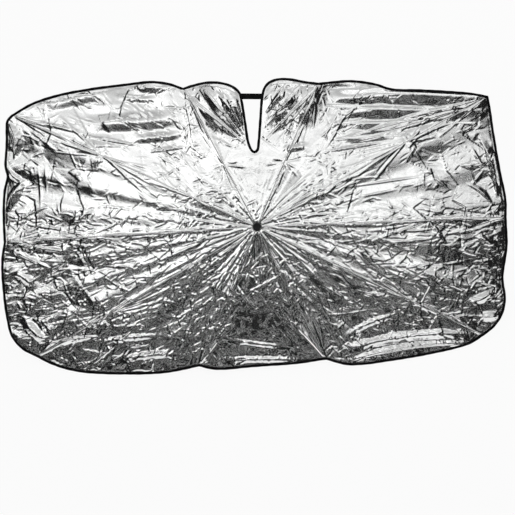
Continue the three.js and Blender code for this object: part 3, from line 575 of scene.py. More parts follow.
@dataclass(frozen=True)
class RodFinish(Finish):
    """Pulled glass-fibre rod: long fibres under a dull black resin."""

    def dress(self, kit: NodeKit, shader: bpy.types.Node) -> None:
        """Adds the fibres.

        Args:
            kit: The material's nodes.
            shader: Its Principled BSDF.
        """
        place = kit.add("ShaderNodeTexCoord").outputs["Object"]
        fibres = kit.noise(place, scale=1400.0, detail=2.0, rough=0.5, distortion=0.2)
        lighter = tuple(2.4 * part + 0.01 for part in self.color)
        link(kit, kit.blend(kit.spread(fibres, 0.4, 0.7), self.color, lighter),
             shader, "Base Color")
        link(kit, kit.bump(fibres, strength=0.3, distance=0.0001), shader, "Normal")


FOIL = FoilFinish("silver_coating", (0.88, 0.885, 0.88), roughness=0.15, metallic=1.0)
LINING = WovenFinish("dark_lining", (0.022, 0.023, 0.026), roughness=0.62, specular=0.3,
                     threads=2600.0, weave_m=0.0001)
TAPE = WovenFinish("binding_tape", (0.004, 0.004, 0.0045), roughness=0.82, specular=0.08,
                   threads=3600.0, weave_m=0.0003)
STRAP = WovenFinish("strap_webbing", (0.004, 0.004, 0.0045), roughness=0.85, specular=0.08,
                    threads=2100.0, weave_m=0.0004)
THREAD = Finish("grey_thread", (0.20, 0.20, 0.21), roughness=0.7)
MOULDED = MouldedFinish("black_moulding", (0.010, 0.010, 0.011), roughness=0.40, specular=0.3)
PLATED = PlatedFinish("plated_steel", (0.52, 0.53, 0.54), roughness=0.32, metallic=1.0)
ROD = RodFinish("glass_fibre_rod", (0.012, 0.012, 0.013), roughness=0.38)


# Cloth: its outline, its heights and its folds


def curve_through(points: Array, spacing: float) -> Array:
    """A smooth curve through points, as a centripetal spline.

    Args:
        points: Rows of x, y that the curve passes.
        spacing: Distance between the returned points, at most.

    Returns:
        Points along the curve, both ends included.
    """
    padded = np.vstack([2 * points[0] - points[1], points, 2 * points[-1] - points[-2]])
    out = [points[:1]]
    for p0, p1, p2, p3 in zip(padded, padded[1:], padded[2:], padded[3:]):
        steps = np.sqrt([np.linalg.norm(p1 - p0), np.linalg.norm(p2 - p1), np.linalg.norm(p3 - p2)])
        t0, t1 = 0.0, steps[0]
        t2, t3 = steps[0] + steps[1], steps.sum()
        count = max(1, math.ceil(np.linalg.norm(p2 - p1) / spacing))
        t = np.linspace(t1, t2, count + 1)[1:, None]
        a1 = (t1 - t) / (t1 - t0) * p0 + (t - t0) / (t1 - t0) * p1
        a2 = (t2 - t) / (t2 - t1) * p1 + (t - t1) / (t2 - t1) * p2
        a3 = (t3 - t) / (t3 - t2) * p2 + (t - t2) / (t3 - t2) * p3
        b1 = (t2 - t) / (t2 - t0) * a1 + (t - t0) / (t2 - t0) * a2
        b2 = (t3 - t) / (t3 - t1) * a2 + (t - t1) / (t3 - t1) * a3
        out.append((t2 - t) / (t2 - t1) * b1 + (t - t1) / (t2 - t1) * b2)
    return np.vstack(out)


@dataclass
class Outline:
    """The hem as one closed line, counter-clockwise, with its outward directions."""

    spacing: float = 0.004
    points: Array = field(init=False)
    outward: Array = field(init=False)

    def __post_init__(self) -> None:
        """Draws the line panel by panel and works out which way is outwards."""
        runs = [self.run(index)[:-1] for index in range(len(RIBS))]
        self.points = np.vstack(runs)
        tips = np.cumsum([0] + [len(run) for run in runs[:-1]])
        ahead = np.roll(self.points, -1, axis=0) - self.points
        normals = np.stack([ahead[:, 1], -ahead[:, 0]], axis=1)
        normals /= np.linalg.norm(normals, axis=1)[:, None]
        mean = normals + np.roll(normals, 1, axis=0)
        self.outward = mean / np.linalg.norm(mean, axis=1)[:, None]
        self.outward[tips] = [rib.direction for rib in RIBS]

    def run(self, index: int) -> Array:
        """The hem from one rib's tip to the next one's.

        Args:
            index: Number of the panel between the two ribs.

        Returns:
            Points along the hem, both tips included.
        """
        start, end = RIBS[index].tip, RIBS[(index + 1) % len(RIBS)].tip
        if index == NOTCH_GORE:
            return curve_through(np.vstack([start, NOTCH, end]), self.spacing)
        chord = end - start
        beyond = unit(np.array([chord[1], -chord[0]]))
        shaped = [start + share * chord + out * beyond for share, out in HEM[index]]
        return curve_through(np.vstack([start, *shaped, end]), self.spacing)

    def moved_in(self, distance: float) -> Array:
        """The same line moved inwards by a distance."""
        return self.points - distance * self.outward


class CanopyForm:
    """Heights of the stretched cloth before it is crumpled: the ribs' slopes and slow billows."""

    SLOPES_DEG = (3.0, 7.0, 11.0)
    ABOVE_RIBS = 0.0026
    FOLD_DEPTH = 0.009
    HOLE_R = 0.0054

    # Where the rings of the cloth's form lie along each kind of link, as shares of the link
    INNER_RINGS = (0.28, 0.62, 1.0)
    SHORT_RINGS = (0.17, 0.36, 0.56, 0.74, 0.9, 1.0)
    MIDDLE_RINGS = (0.36, 0.7, 1.0)
    OUTER_RINGS = (0.36, 0.72, 1.0)

    # How the billows round off beside a rib, how wide the notch keeps them calm, how strong their
    # pleats are, and how far the slow ones swing and hang
    ROUNDING = 0.7
    NOTCH_HALF = 0.3
    PLEATS = 0.22
    SWING = 0.5
    HANG = 0.6

    def __init__(self, outline: Outline) -> None:
        """Keeps the hem's radius in every direction.

        Args:
            outline: The hem.
        """
        angles = np.arctan2(outline.points[:, 1], outline.points[:, 0])
        order = np.argsort(angles)
        radii = np.linalg.norm(outline.points, axis=1)
        self.angles = np.concatenate([angles[order] - 2 * math.pi, angles[order],
                                      angles[order] + 2 * math.pi])
        self.radii = np.tile(radii[order], 3)

    def rib_height(self, radius: Array) -> Array:
        """Height of the cloth where it lies on a rib.

        Args:
            radius: Distances from the crown.

        Returns:
            The height at each.
        """
        starts = (CROWN_PIVOT_R, FIRST_JOINT_R, SECOND_JOINT_R)
        ends = (FIRST_JOINT_R, SECOND_JOINT_R, np.inf)
        fall = sum(
            np.clip(radius - start, 0.0, end - start) * math.tan(math.radians(slope))
            for start, end, slope in zip(starts, ends, self.SLOPES_DEG))
        return self.ABOVE_RIBS - fall

    def rings(self, rib: Rib) -> Array:
        """Radii along one rib that its neighbours' radii answer to.

        Args:
            rib: The rib.

        Returns:
            The radii, from the cloth's hole to the hem.
        """
        inner = np.interp(self.INNER_RINGS, [0, 1], [CROWN_PIVOT_R, FIRST_JOINT_R])
        if not rib.is_long:
            short = np.interp(self.SHORT_RINGS, [0, 1], [FIRST_JOINT_R, rib.reach])
            return np.array([self.HOLE_R, *inner, *short])
        middle = np.interp(self.MIDDLE_RINGS, [0, 1], [FIRST_JOINT_R, SECOND_JOINT_R])
        outer = np.interp(self.OUTER_RINGS, [0, 1], [SECOND_JOINT_R, rib.reach])
        return np.array([self.HOLE_R, *inner, *middle, *outer])

    @staticmethod
    def gore_of(points: Array) -> tuple[Array, Array]:
        """Which panel each point lies in, and its share of the way to the next rib.

        Args:
            points: Rows of x, y in the shade's plane.

        Returns:
            The panels' numbers and the shares.
        """
        starts = np.array([rib.azimuth for rib in RIBS])
        turn = np.mod(np.arctan2(points[:, 1], points[:, 0]) - starts[0], 2 * math.pi)
        edges = np.append(starts - starts[0], 2 * math.pi)
        gore = np.clip(np.searchsorted(edges, turn, side="right") - 1, 0, len(RIBS) - 1)
        share = (turn - edges[gore]) / (edges[gore + 1] - edges[gore])
        return gore, share

    def heights(self, points: Array) -> Array:
        """Height of the cloth at points of the shade's plane.

        Args:
            points: Rows of x, y.

        Returns:
            The height at each.
        """
        gore, share = self.gore_of(points)
        radius = np.linalg.norm(points, axis=1)
        turn = np.arctan2(points[:, 1], points[:, 0])
        part = np.clip(radius / np.interp(turn, self.angles, self.radii), 0.0, 1.0)
        out = np.zeros(len(points))
        for index, rib in enumerate(RIBS):
            mine = gore == index
            if not mine.any():
                continue
            here, there = self.rings(rib), self.rings(RIBS[(index + 1) % len(RIBS)])
            s = share[mine]
            if index == NOTCH_GORE:
                base = self.rib_height(radius[mine])
                ring = np.interp(radius[mine], here, np.arange(len(here)))
            else:
                shares = (1 - s)[:, None] * here / here[-1] + s[:, None] * there / there[-1]
                low = np.clip((shares <= part[mine][:, None]).sum(axis=1) - 1, 0, len(here) - 2)
                rows = np.arange(len(low))
                span = shares[rows, low + 1] - shares[rows, low]
                step = np.clip((part[mine] - shares[rows, low]) / span, 0.0, 1.0)
                ring = low + step
                ends = [np.interp(ring, np.arange(len(r)), r) for r in (here, there)]
                base = (1 - s) * self.rib_height(ends[0]) + s * self.rib_height(ends[1])
            out[mine] = base + self.billow(s, ring / (len(here) - 1), index)
        return out

    def billow(self, share: Array, out: Array, index: int) -> Array:
        """How far the cloth of one panel falls or stands between its two ribs.

        Args:
            share: Shares of the way from one rib to the next.
            out: Shares of the way from the crown to the hem.
            index: The panel's number, which sets the phase of its billows.

        Returns:
            The height at each.
        """
        near_rib = np.sin(math.pi * np.clip(share, 0, 1)) ** self.ROUNDING
        calm = np.exp(-(((share - 0.5) / self.NOTCH_HALF) ** 4)) if index == NOTCH_GORE else 0.0
        pleat = np.sin((5 + index % 3) * math.pi * share + 1.7 * index)
        slow = np.cos(2.1 * out * math.pi + 2.3 * index) * self.SWING - self.HANG
        return self.FOLD_DEPTH * out * near_rib * (1 - calm) * (self.PLEATS * pleat + slow)


class Profile(Enum):
    """The section of a fold: a sharp ridge, a pleat that leans to one side, or a round wave."""

    RIDGE = "ridge"
    PLEAT = "pleat"
    WAVE = "wave"


RIDGE, PLEAT, WAVE = Profile

@dataclass(frozen=True)
class Fold:
    """One fold of the cloth, from a start to an end, as wide at each as stated."""

    start: Point
    end: Point
    width: float
    height: float
    profile: Profile = RIDGE
    end_width: float | None = None
    bend: float = 0.0
    sharp_start: bool = False

    STEEPER = 3.0

    def section(self, across: Array) -> Array:
        """Height of the fold's section.

        Args:
            across: Shares of its half width, to the left of the fold above 0.

        Returns:
            The height at each, 1 at the crest.
        """
        near = np.clip(1.0 - np.abs(across), 0.0, 1.0)
        if self.profile is RIDGE:
            return near
        if self.profile is WAVE:
            return smoothstep(near)
        steep = np.clip(1.0 + self.STEEPER * across, 0.0, 1.0)
        return np.where(across < 0, steep, near)


@dataclass
class FoldSheet:
    """A raster of fold heights over the shade's plane, at one pitch both ways."""

    pitch: float
    half_width: float = 0.74
    half_height: float = 0.45
    x: Array = field(init=False)
    y: Array = field(init=False)
    heights: Array = field(init=False)

    # How fast folds rise from their ends: plain ones, waves, and the sharp starts of fans
    RISE = 2.6
    RISE_POWER = 0.8
    WAVE_RISE = 2.4
    SHARP_RISE = 12.0
    END_WIDTH = 0.4

    def __post_init__(self) -> None:
        """Lays the raster out flat."""
        self.x = np.arange(-self.half_width, self.half_width + self.pitch, self.pitch)
        self.y = np.arange(-self.half_height, self.half_height + self.pitch, self.pitch)
        self.heights = np.zeros((len(self.y), len(self.x)), np.float64)

    def add(self, fold: Fold) -> None:
        """Presses one fold into the sheet.

        Args:
            fold: The fold.
        """
        start, end = np.array(fold.start), np.array(fold.end)
        length = np.linalg.norm(end - start)
        if length < self.pitch:
            return
        last = fold.width if fold.end_width is None else fold.end_width
        reach = max(fold.width, last) + abs(fold.bend) + self.pitch
        low, high = np.minimum(start, end) - reach, np.maximum(start, end) + reach
        columns = slice(*np.searchsorted(self.x, [low[0], high[0]]))
        rows = slice(*np.searchsorted(self.y, [low[1], high[1]]))
        gx, gy = np.meshgrid(self.x[columns], self.y[rows])
        if gx.size == 0:
            return
        along = (end - start) / length
        s = ((gx - start[0]) * along[0] + (gy - start[1]) * along[1]) / length
        held = np.clip(s, 0.0, 1.0)
        off = -(gx - start[0]) * along[1] + (gy - start[1]) * along[0]
        off = off - fold.bend * 4.0 * held * (1.0 - held)
        width = fold.width + (last - fold.width) * held
        from_end = np.minimum(held, 1.0 - held)
        if fold.sharp_start:
            fade = np.clip(self.SHARP_RISE * held, 0.0, 1.0) * np.sqrt(1.0 - held)
        elif fold.profile is WAVE:
            fade = smoothstep(self.WAVE_RISE * from_end)
        else:
            fade = np.clip(self.RISE * from_end, 0.0, 1.0) ** self.RISE_POWER
            width = width * (self.END_WIDTH + (1.0 - self.END_WIDTH) * fade)
        inside = (s > 0.0) & (s < 1.0)
        scale = width / max(fold.width, last)
        rise = fold.height * scale * fold.section(off / width) * fade
        self.heights[rows, columns] += np.where(inside, rise, 0.0)

    def at(self, points: Array) -> Array:
        """Height of the folds at points, between the raster's own.

        Args:
            points: Rows of x, y.

        Returns:
            The height at each.
        """
        u = np.clip((points[:, 0] - self.x[0]) / self.pitch, 0, len(self.x) - 1.001)
        v = np.clip((points[:, 1] - self.y[0]) / self.pitch, 0, len(self.y) - 1.001)
        i, j = u.astype(int), v.astype(int)
        a, b = u - i, v - j
        h = self.heights
        return ((1 - a) * (1 - b) * h[j, i] + a * (1 - b) * h[j, i + 1]
                + (1 - a) * b * h[j + 1, i] + a * b * h[j + 1, i + 1])


def polar(centre: Point, angle: float, radius: float) -> Point:
    """The point at an angle and a distance from a centre."""
    return (centre[0] + math.cos(angle) * radius, centre[1] + math.sin(angle) * radius)


# Folds that the photograph shows one by one
LARGE_FOLDS = [
    Fold((-0.510, 0.284), (-0.180, 0.306), 0.030, 0.0084, WAVE, bend=-0.006),
    Fold((-0.360, 0.240), (-0.190, 0.258), 0.016, 0.0045, WAVE, bend=-0.003),
    Fold((-0.300, 0.204), (-0.190, 0.219), 0.010, 0.0030, PLEAT),
    Fold((-0.657, 0.306), (-0.443, 0.245), 0.006, 0.0024, PLEAT, 0.012),
    Fold((-0.480, 0.250), (-0.300, 0.218), 0.010, 0.0040, PLEAT, 0.005),
    Fold((-0.620, 0.325), (-0.380, 0.372), 0.026, 0.0073, WAVE, bend=0.006),
    Fold((-0.350, 0.385), (-0.230, 0.385), 0.020, 0.0056, WAVE),
    Fold((-0.400, 0.362), (-0.262, 0.352), 0.012, 0.0034, WAVE, bend=-0.005),
    Fold((-0.360, 0.354), (-0.283, 0.272), 0.004, 0.0016),
    Fold((-0.344, 0.350), (-0.268, 0.285), 0.004, 0.0016),
    Fold((-0.388, 0.377), (-0.415, 0.258), 0.003, 0.0010),
    Fold((-0.690, 0.290), (-0.672, 0.185), 0.024, 0.0120, PLEAT, bend=0.012),
    Fold((-0.640, 0.130), (-0.690, 0.045), 0.024, 0.0120, PLEAT, bend=-0.012),
    Fold((-0.700, 0.170), (-0.640, 0.120), 0.012, 0.0060, WAVE, bend=-0.006),
    Fold((-0.606, 0.168), (-0.597, 0.038), 0.005, 0.0020, RIDGE, bend=0.004),
    Fold((-0.585, 0.175), (-0.580, 0.090), 0.005, 0.0016),
    Fold((-0.668, 0.006), (-0.556, 0.058), 0.006, 0.0022, PLEAT, bend=0.010),
    Fold((-0.640, 0.006), (-0.505, -0.013), 0.012, 0.0036, PLEAT, 0.003),
    Fold((-0.520, 0.010), (-0.470, 0.032), 0.012, 0.0040, WAVE),
    Fold((-0.640, -0.060), (-0.500, -0.074), 0.010, 0.0032, WAVE, bend=0.004),
    Fold((-0.675, -0.120), (-0.600, -0.170), 0.016, 0.0060, WAVE),
    Fold((-0.655, -0.230), (-0.560, -0.330), 0.018, 0.0075, WAVE, bend=-0.012),
    Fold((-0.690, -0.060), (-0.560, -0.120), 0.010, 0.0035, PLEAT),
    Fold((-0.010, 0.210), (-0.178, 0.348), 0.003, 0.0130, PLEAT, 0.026),
    Fold((-0.014, 0.214), (-0.152, 0.384), 0.003, 0.0120, PLEAT, 0.024),
    Fold((-0.022, 0.226), (-0.104, 0.384), 0.003, 0.0110, PLEAT, 0.024),
    Fold((-0.030, 0.242), (-0.062, 0.362), 0.003, 0.0085, PLEAT, 0.018),
    Fold((-0.040, 0.206), (-0.150, 0.256), 0.005, 0.0014, WAVE, 0.014),
    Fold((-0.140, 0.398), (-0.056, 0.366), 0.016, 0.0045, WAVE),
    Fold((-0.205, 0.352), (0.020, 0.345), 0.110, 0.0230, WAVE),
    Fold((0.166, 0.384), (0.004, 0.220), 0.022, 0.0120, PLEAT, 0.003),
    Fold((0.130, 0.396), (0.010, 0.262), 0.024, 0.0120, PLEAT, 0.003),
    Fold((0.086, 0.400), (0.014, 0.300), 0.022, 0.0100, PLEAT, 0.004),
    Fold((0.020, 0.388), (0.140, 0.404), 0.018, 0.0050, WAVE),
    Fold((-0.020, 0.345), (0.210, 0.368), 0.100, 0.0200, WAVE),
    Fold((0.158, 0.360), (0.100, 0.240), 0.008, 0.0022, PLEAT, 0.003),
    Fold((0.060, 0.208), (0.150, 0.225), 0.012, 0.0028, WAVE),
    Fold((0.180, 0.388), (0.710, 0.366), 0.090, 0.0120, WAVE, bend=0.004),
    Fold((0.680, 0.356), (0.290, 0.372), 0.044, 0.0190, PLEAT, bend=-0.003),
    Fold((0.620, 0.322), (0.170, 0.332), 0.034, 0.0155, PLEAT, bend=0.004),
    Fold((0.615, 0.350), (0.290, 0.258), 0.018, 0.0110, PLEAT, 0.026, bend=-0.006),
    Fold((0.500, 0.298), (0.200, 0.284), 0.022, 0.0100, PLEAT, bend=0.004),
    Fold((0.420, 0.252), (0.200, 0.240), 0.012, 0.0062, PLEAT, 0.017),
    Fold((0.170, 0.362), (0.400, 0.372), 0.026, 0.0073, WAVE, bend=-0.010),
    Fold((0.165, 0.398), (0.300, 0.402), 0.020, 0.0056, WAVE),
    Fold((0.190, 0.306), (0.360, 0.326), 0.014, 0.0030, WAVE, bend=-0.004),
    Fold((0.560, 0.330), (0.220, 0.240), 0.012, 0.0045, PLEAT),
    Fold((0.640, 0.346), (0.300, 0.240), 0.005, 0.0040, PLEAT, 0.010),
    Fold((0.171, 0.202), (0.372, 0.236), 0.008, 0.0032, PLEAT),
    Fold((0.240, 0.225), (0.400, 0.262), 0.007, 0.0026, PLEAT),
    Fold((0.612, 0.250), (0.660, 0.080), 0.024, 0.0140, PLEAT, bend=0.012),
    *(Fold((0.628, 0.162), end, 0.006, height, PLEAT, width) for end, height, width in (
        ((0.560, 0.172), 0.0040, 0.012), ((0.585, 0.110), 0.0040, 0.012),
        ((0.672, 0.110), 0.0045, 0.014), ((0.590, 0.225), 0.0040, 0.012),
        ((0.662, 0.215), 0.0040, 0.012))),
    Fold((0.560, 0.165), (0.640, 0.180), 0.012, 0.0050, PLEAT),
    Fold((0.575, 0.120), (0.650, 0.060), 0.012, 0.0050, PLEAT, bend=0.008),
    Fold((0.476, 0.143), (0.418, 0.232), 0.004, 0.0018),
    Fold((0.476, 0.143), (0.240, 0.108), 0.004, 0.0018),
    Fold((0.476, 0.143), (0.540, 0.098), 0.006, 0.0024, PLEAT),
    Fold((0.390, 0.105), (0.280, 0.083), 0.006, 0.0020, PLEAT),
    Fold((0.600, -0.020), (0.668, -0.060), 0.016, 0.0065, WAVE),
    Fold((0.540, -0.060), (0.630, -0.085), 0.010, 0.0040, PLEAT),
    Fold((0.600, -0.150), (0.680, -0.165), 0.012, 0.0060, PLEAT),
    Fold((0.575, -0.215), (0.672, -0.175), 0.016, 0.0070, WAVE),
    Fold((0.605, -0.250), (0.680, -0.245), 0.018, 0.0080, WAVE),
    Fold((0.200, -0.352), (0.622, -0.300), 0.017, 0.0100, WAVE, bend=0.024),
    Fold((0.225, -0.378), (0.600, -0.322), 0.014, 0.0080, PLEAT, bend=0.018),
    Fold((0.230, -0.310), (0.400, -0.240), 0.012, 0.0045, WAVE, bend=0.012),
    Fold((0.330, -0.110), (0.270, -0.035), 0.014, 0.0035, PLEAT),
    Fold((-0.190, -0.350), (-0.400, -0.372), 0.014, 0.0055, WAVE, bend=-0.008),
    Fold((-0.230, -0.300), (-0.470, -0.330), 0.012, 0.0045, WAVE, bend=-0.010),
    Fold((-0.420, -0.300), (-0.600, -0.330), 0.014, 0.0060, PLEAT, bend=-0.006),
    Fold((-0.130, -0.368), (0.150, -0.372), 0.012, 0.0045, WAVE, bend=0.006),
    Fold((-0.120, -0.300), (0.120, -0.330), 0.010, 0.0030, WAVE, bend=-0.006),
]


@dataclass
class Crumpler:
    """Lays all the folds of the cloth: the photographed ones, fans at the joints and crinkles."""

    sheet: FoldSheet
    random: np.random.Generator = field(init=False)

    SEED = 20260
    CROWN_CREASES = 130
    FACETS = ((0.055, 0.0034, 1.7), (0.021, 0.0017, 1.9))
    CRINKLES = 6200
    LONG_CRINKLES = 260
    RIB_CALM = 0.009
    QUIET_SHARE = 0.65
    CALM = [((0.0, 0.150), (0.15, 0.075)), ((-0.135, 0.285), (0.035, 0.075)),
            ((0.150, 0.270), (0.030, 0.065)), ((0.150, -0.290), (0.035, 0.060))]

    # What calm places, ribs and the quiet upper sides keep of their crinkles
    CALM_KEEP = 0.10
    RIB_KEEP = 0.25
    QUIET_LOSS = 0.30
    QUIET_Y = (0.02, 0.10)
    QUIET_X = (0.22, 0.32)

    # Fans: where their folds start, how narrow they are there, and how much one differs from another
    FAN_START = 0.004
    FAN_POINT = 0.0016
    FAN_WIDTHS = (0.55, 1.2)
    HEIGHTS = (0.6, 1.3)
    RAISED = 0.7
    LEANING = 0.6
    FAN_BEND = 0.03

    # Pleats along a rib: how far out they stand, and where they start beside its seam
    RIB_LEANS = ((1, 0.006), (-1, 0.006), (1, 0.014), (-1, 0.014))
    SEAM_SIDE = 0.0012

    # Creases round the crown
    CROWN_START = 0.010
    CROWN_REACH = (0.05, 0.24)
    CROWN_WIDTHS = (0.0028, 0.0060)
    CROWN_SLOPE = 0.52
    UNDER_NOTCH_DEG = 95.0
    UNDER_NOTCH_SHARE = 0.35

    def __post_init__(self) -> None:
        """Starts a seeded generator."""
        self.random = np.random.default_rng(self.SEED)

    def lay(self) -> None:
        """Presses every fold into the sheet."""
        for fold in LARGE_FOLDS:
            self.sheet.add(fold)
        for rib in RIBS:
            self.rib_folds(rib)
        self.crown_fan()
        drawn = self.sheet
        self.sheet = FoldSheet(drawn.pitch)
        for spacing, height, stretch in self.FACETS:
            self.sheet.heights += self.facets(spacing, height, stretch)
        self.crinkles(self.CRINKLES, lengths=(0.010, 0.056), widths=(0.0019, 0.0036),
                      slopes=(0.28, 0.66), radial=0.45)
        self.crinkles(self.LONG_CRINKLES, lengths=(0.060, 0.170), widths=(0.0028, 0.0060),
                      slopes=(0.20, 0.46), radial=0.80)
        drawn.heights += self.sheet.heights * self.calmness(drawn)
        self.sheet = drawn

    def calmness(self, sheet: FoldSheet) -> Array:
        """How much of its crinkles each place keeps: little where the cloth is satin or on a rib.

        Args:
            sheet: The raster whose places are asked for.

        Returns:
            A share for each place of the raster.
        """
        x, y = np.meshgrid(sheet.x, sheet.y)
        keep = np.ones_like(x)
        for centre, radii in self.CALM:
            far = ((x - centre[0]) / radii[0]) ** 2 + ((y - centre[1]) / radii[1]) ** 2
            freed = smoothstep(far - 0.5)
            keep = np.minimum(keep, self.CALM_KEEP + (1.0 - self.CALM_KEEP) * freed)
        quiet = self.ramp(y, self.QUIET_Y) * self.ramp(np.abs(x), self.QUIET_X)
        keep *= 1.0 - self.QUIET_LOSS * quiet
        for rib in RIBS:
            along = x * rib.direction[0] + y * rib.direction[1]
            across = np.abs(y * rib.direction[0] - x * rib.direction[1])
            off = np.where(along > 0, across, self.RIB_CALM)
            freed = smoothstep(off / self.RIB_CALM)
            keep = np.minimum(keep, self.RIB_KEEP + (1.0 - self.RIB_KEEP) * freed)
        return keep

    @staticmethod
    def ramp(value: Array, ends: tuple[float, float]) -> Array:
        """Eases from 0 at the first of two ends to 1 at the second."""
        return smoothstep((value - ends[0]) / (ends[1] - ends[0]))

    def between(self, low: float, high: float) -> float:
        """An even draw between two values."""
        return float(self.random.uniform(low, high))

    def fan(self, centre: Point, angle: float, spread: float, count: int,
            lengths: tuple[float, float], width: float, slope: float) -> None:
        """Folds that start narrow at one point and open outwards round a direction.

        Args:
            centre: Where they start.
            angle: The middle direction, in radians.
            spread: How far they turn from it either way, in radians.
            count: How many there are.
            lengths: Shortest and longest.
            width: Half width at the open end.
            slope: Height for each metre of half width.
        """
        for _ in range(count):
            turn = angle + spread * self.between(-1.0, 1.0)
            far = self.between(*lengths)
            wide = width * self.between(*self.FAN_WIDTHS)
            height = wide * slope * self.between(*self.HEIGHTS)
            raised = self.random.random() < self.RAISED
            leaning = self.random.random() < self.LEANING
            bend = far * self.between(-self.FAN_BEND, self.FAN_BEND)
            self.sheet.add(Fold(
                polar(centre, turn, self.FAN_START), polar(centre, turn, far), self.FAN_POINT,
                height if raised else -height, PLEAT if leaning else RIDGE, wide,
                bend=bend, sharp_start=True))

    def rib_folds(self, rib: Rib) -> None:
        """Long pleats beside one rib, and the fans at its joints and its tip.

        Args:
            rib: The rib.
        """
        turn = rib.azimuth
        origin = (0.0, 0.0)
        first = polar(origin, turn, FIRST_JOINT_R)
        tip = polar(origin, turn, rib.reach - 0.006)
        self.fan(first, turn, math.pi, count=9, lengths=(0.020, 0.065), width=0.0050, slope=0.40)
        self.fan(tip, turn + math.pi, 0.30, count=9, lengths=(0.060, 0.190), width=0.0085,
                 slope=0.46)
        stops = [0.014, FIRST_JOINT_R, rib.reach - 0.008]
        if rib.is_long:
            second = polar(origin, turn, SECOND_JOINT_R)
            self.fan(second, turn + math.pi, 0.36, count=13, lengths=(0.060, 0.210), width=0.0062,
                     slope=0.44)
            self.fan(second, turn, 0.36, count=10, lengths=(0.050, 0.170), width=0.0062, slope=0.44)
            self.fan(second, turn, math.pi, count=8, lengths=(0.020, 0.060), width=0.0050, slope=0.40)
            stops.insert(2, SECOND_JOINT_R)
        else:
            self.fan(first, turn, 0.25, count=7, lengths=(0.080, 0.180), width=0.0060, slope=0.30)
        sideways = turn + math.pi / 2
        for near, far in zip(stops, stops[1:]):
            self.sheet.add(Fold(polar(origin, turn, near), polar(origin, turn, far),
                                width=0.0030, height=0.0014))
            for side, lean in self.RIB_LEANS:
                across = side * lean * self.between(0.7, 1.2)
                foot = polar(polar(origin, turn, near), sideways, side * self.SEAM_SIDE)
                middle = polar(polar(origin, turn, 0.5 * (near + far)), sideways, across)
                head = polar(polar(origin, turn, far), sideways, side * self.SEAM_SIDE)
                for end in (foot, head):
                    height = 0.0019 * self.between(0.6, 1.2)
                    self.sheet.add(Fold(end, middle, width=0.0024, height=height,
                                        end_width=0.0046, sharp_start=True))

    def crown_fan(self) -> None:
        """Creases that run out of the crown all round, fewer under the notch."""
        for number in range(self.CROWN_CREASES):
            turn = 2 * math.pi * (number + self.between(-0.4, 0.4)) / self.CROWN_CREASES
            from_notch = math.remainder(turn - math.radians(self.UNDER_NOTCH_DEG), 2 * math.pi)
            calm = self.UNDER_NOTCH_SHARE if abs(from_notch) < 0.5 else 1.0
            far = self.between(*self.CROWN_REACH)
            wide = self.between(*self.CROWN_WIDTHS)
            height = wide * self.CROWN_SLOPE * calm * self.between(*self.HEIGHTS)
            bend = far * self.between(-0.04, 0.04)
            self.sheet.add(Fold(
                polar((0.0, 0.0), turn, self.CROWN_START), polar((0.0, 0.0), turn, far),
                width=0.0014, height=height, end_width=wide, bend=bend, sharp_start=True))

    def facets(self, spacing: float, height: float, stretch: float) -> Array:
        """Flat facets with sharp creases between them, as crumpled foil has.

        Args:
            spacing: Mean distance between their corners.
            height: How far a corner may stand above or below the cloth.
            stretch: How much longer they are away from the crown than across.

        Returns:
            Heights over the raster.
        """
        sheet = self.sheet
        count_x = round(2 * sheet.half_width / spacing) + 2
        count_y = round(2 * sheet.half_height / spacing) + 2
        u, v = np.meshgrid(np.arange(count_x) - 0.5 * count_x, np.arange(count_y) - 0.5 * count_y)
        shift = self.random.uniform(-0.42, 0.42, (2, *u.shape))
        x = ((u + 0.5 * (np.arange(count_y) % 2)[:, None] + shift[0]) * spacing).ravel()
        y = ((v + shift[1]) * spacing).ravel()
        z = self.random.uniform(-height, height, x.size)
        turn = np.arctan2(y, x)
        wrap = [(turn > math.pi - 0.7, -2 * math.pi), (turn < 0.7 - math.pi, 2 * math.pi)]
        picked = np.concatenate([np.arange(x.size)] + [np.nonzero(some)[0] for some, _ in wrap])
        turns = np.concatenate([turn] + [turn[some] + by for some, by in wrap])
        far = np.log(np.hypot(x, y)[picked] + 0.012) / stretch
        net = delaunay_2d_cdt([Vector(pair) for pair in zip(far, turns)], [], [], 0, 1e-7)
        out = np.zeros_like(sheet.heights)
        for face in net[2]:
            self.fill(out, [int(picked[net[3][corner][0]]) for corner in face], x, y, z)
        return out

    def fill(self, out: Array, corners: Sequence[int], x: Array, y: Array, z: Array) -> None:
        """Lays one flat triangle into a raster of heights.

        Args:
            out: The raster.
            corners: Numbers of the triangle's corners.
            x: Every corner's place to the right.
            y: Every corner's place upwards.
            z: Every corner's height.
        """
        sheet = self.sheet
        i, j, k = corners
        area = (x[j] - x[i]) * (y[k] - y[i]) - (x[k] - x[i]) * (y[j] - y[i])
        if abs(area) < 1e-10:
            return
        columns = slice(*np.searchsorted(sheet.x, [x[corners].min(), x[corners].max()]))
        rows = slice(*np.searchsorted(sheet.y, [y[corners].min(), y[corners].max()]))
        px, py = np.meshgrid(sheet.x[columns], sheet.y[rows])
        b = ((px - x[i]) * (y[k] - y[i]) - (x[k] - x[i]) * (py - y[i])) / area
        c = ((x[j] - x[i]) * (py - y[i]) - (px - x[i]) * (y[j] - y[i])) / area
        inside = (b >= 0) & (c >= 0) & (b + c <= 1)
        level = z[i] + b * (z[j] - z[i]) + c * (z[k] - z[i])
        out[rows, columns] = np.where(inside, level, out[rows, columns])

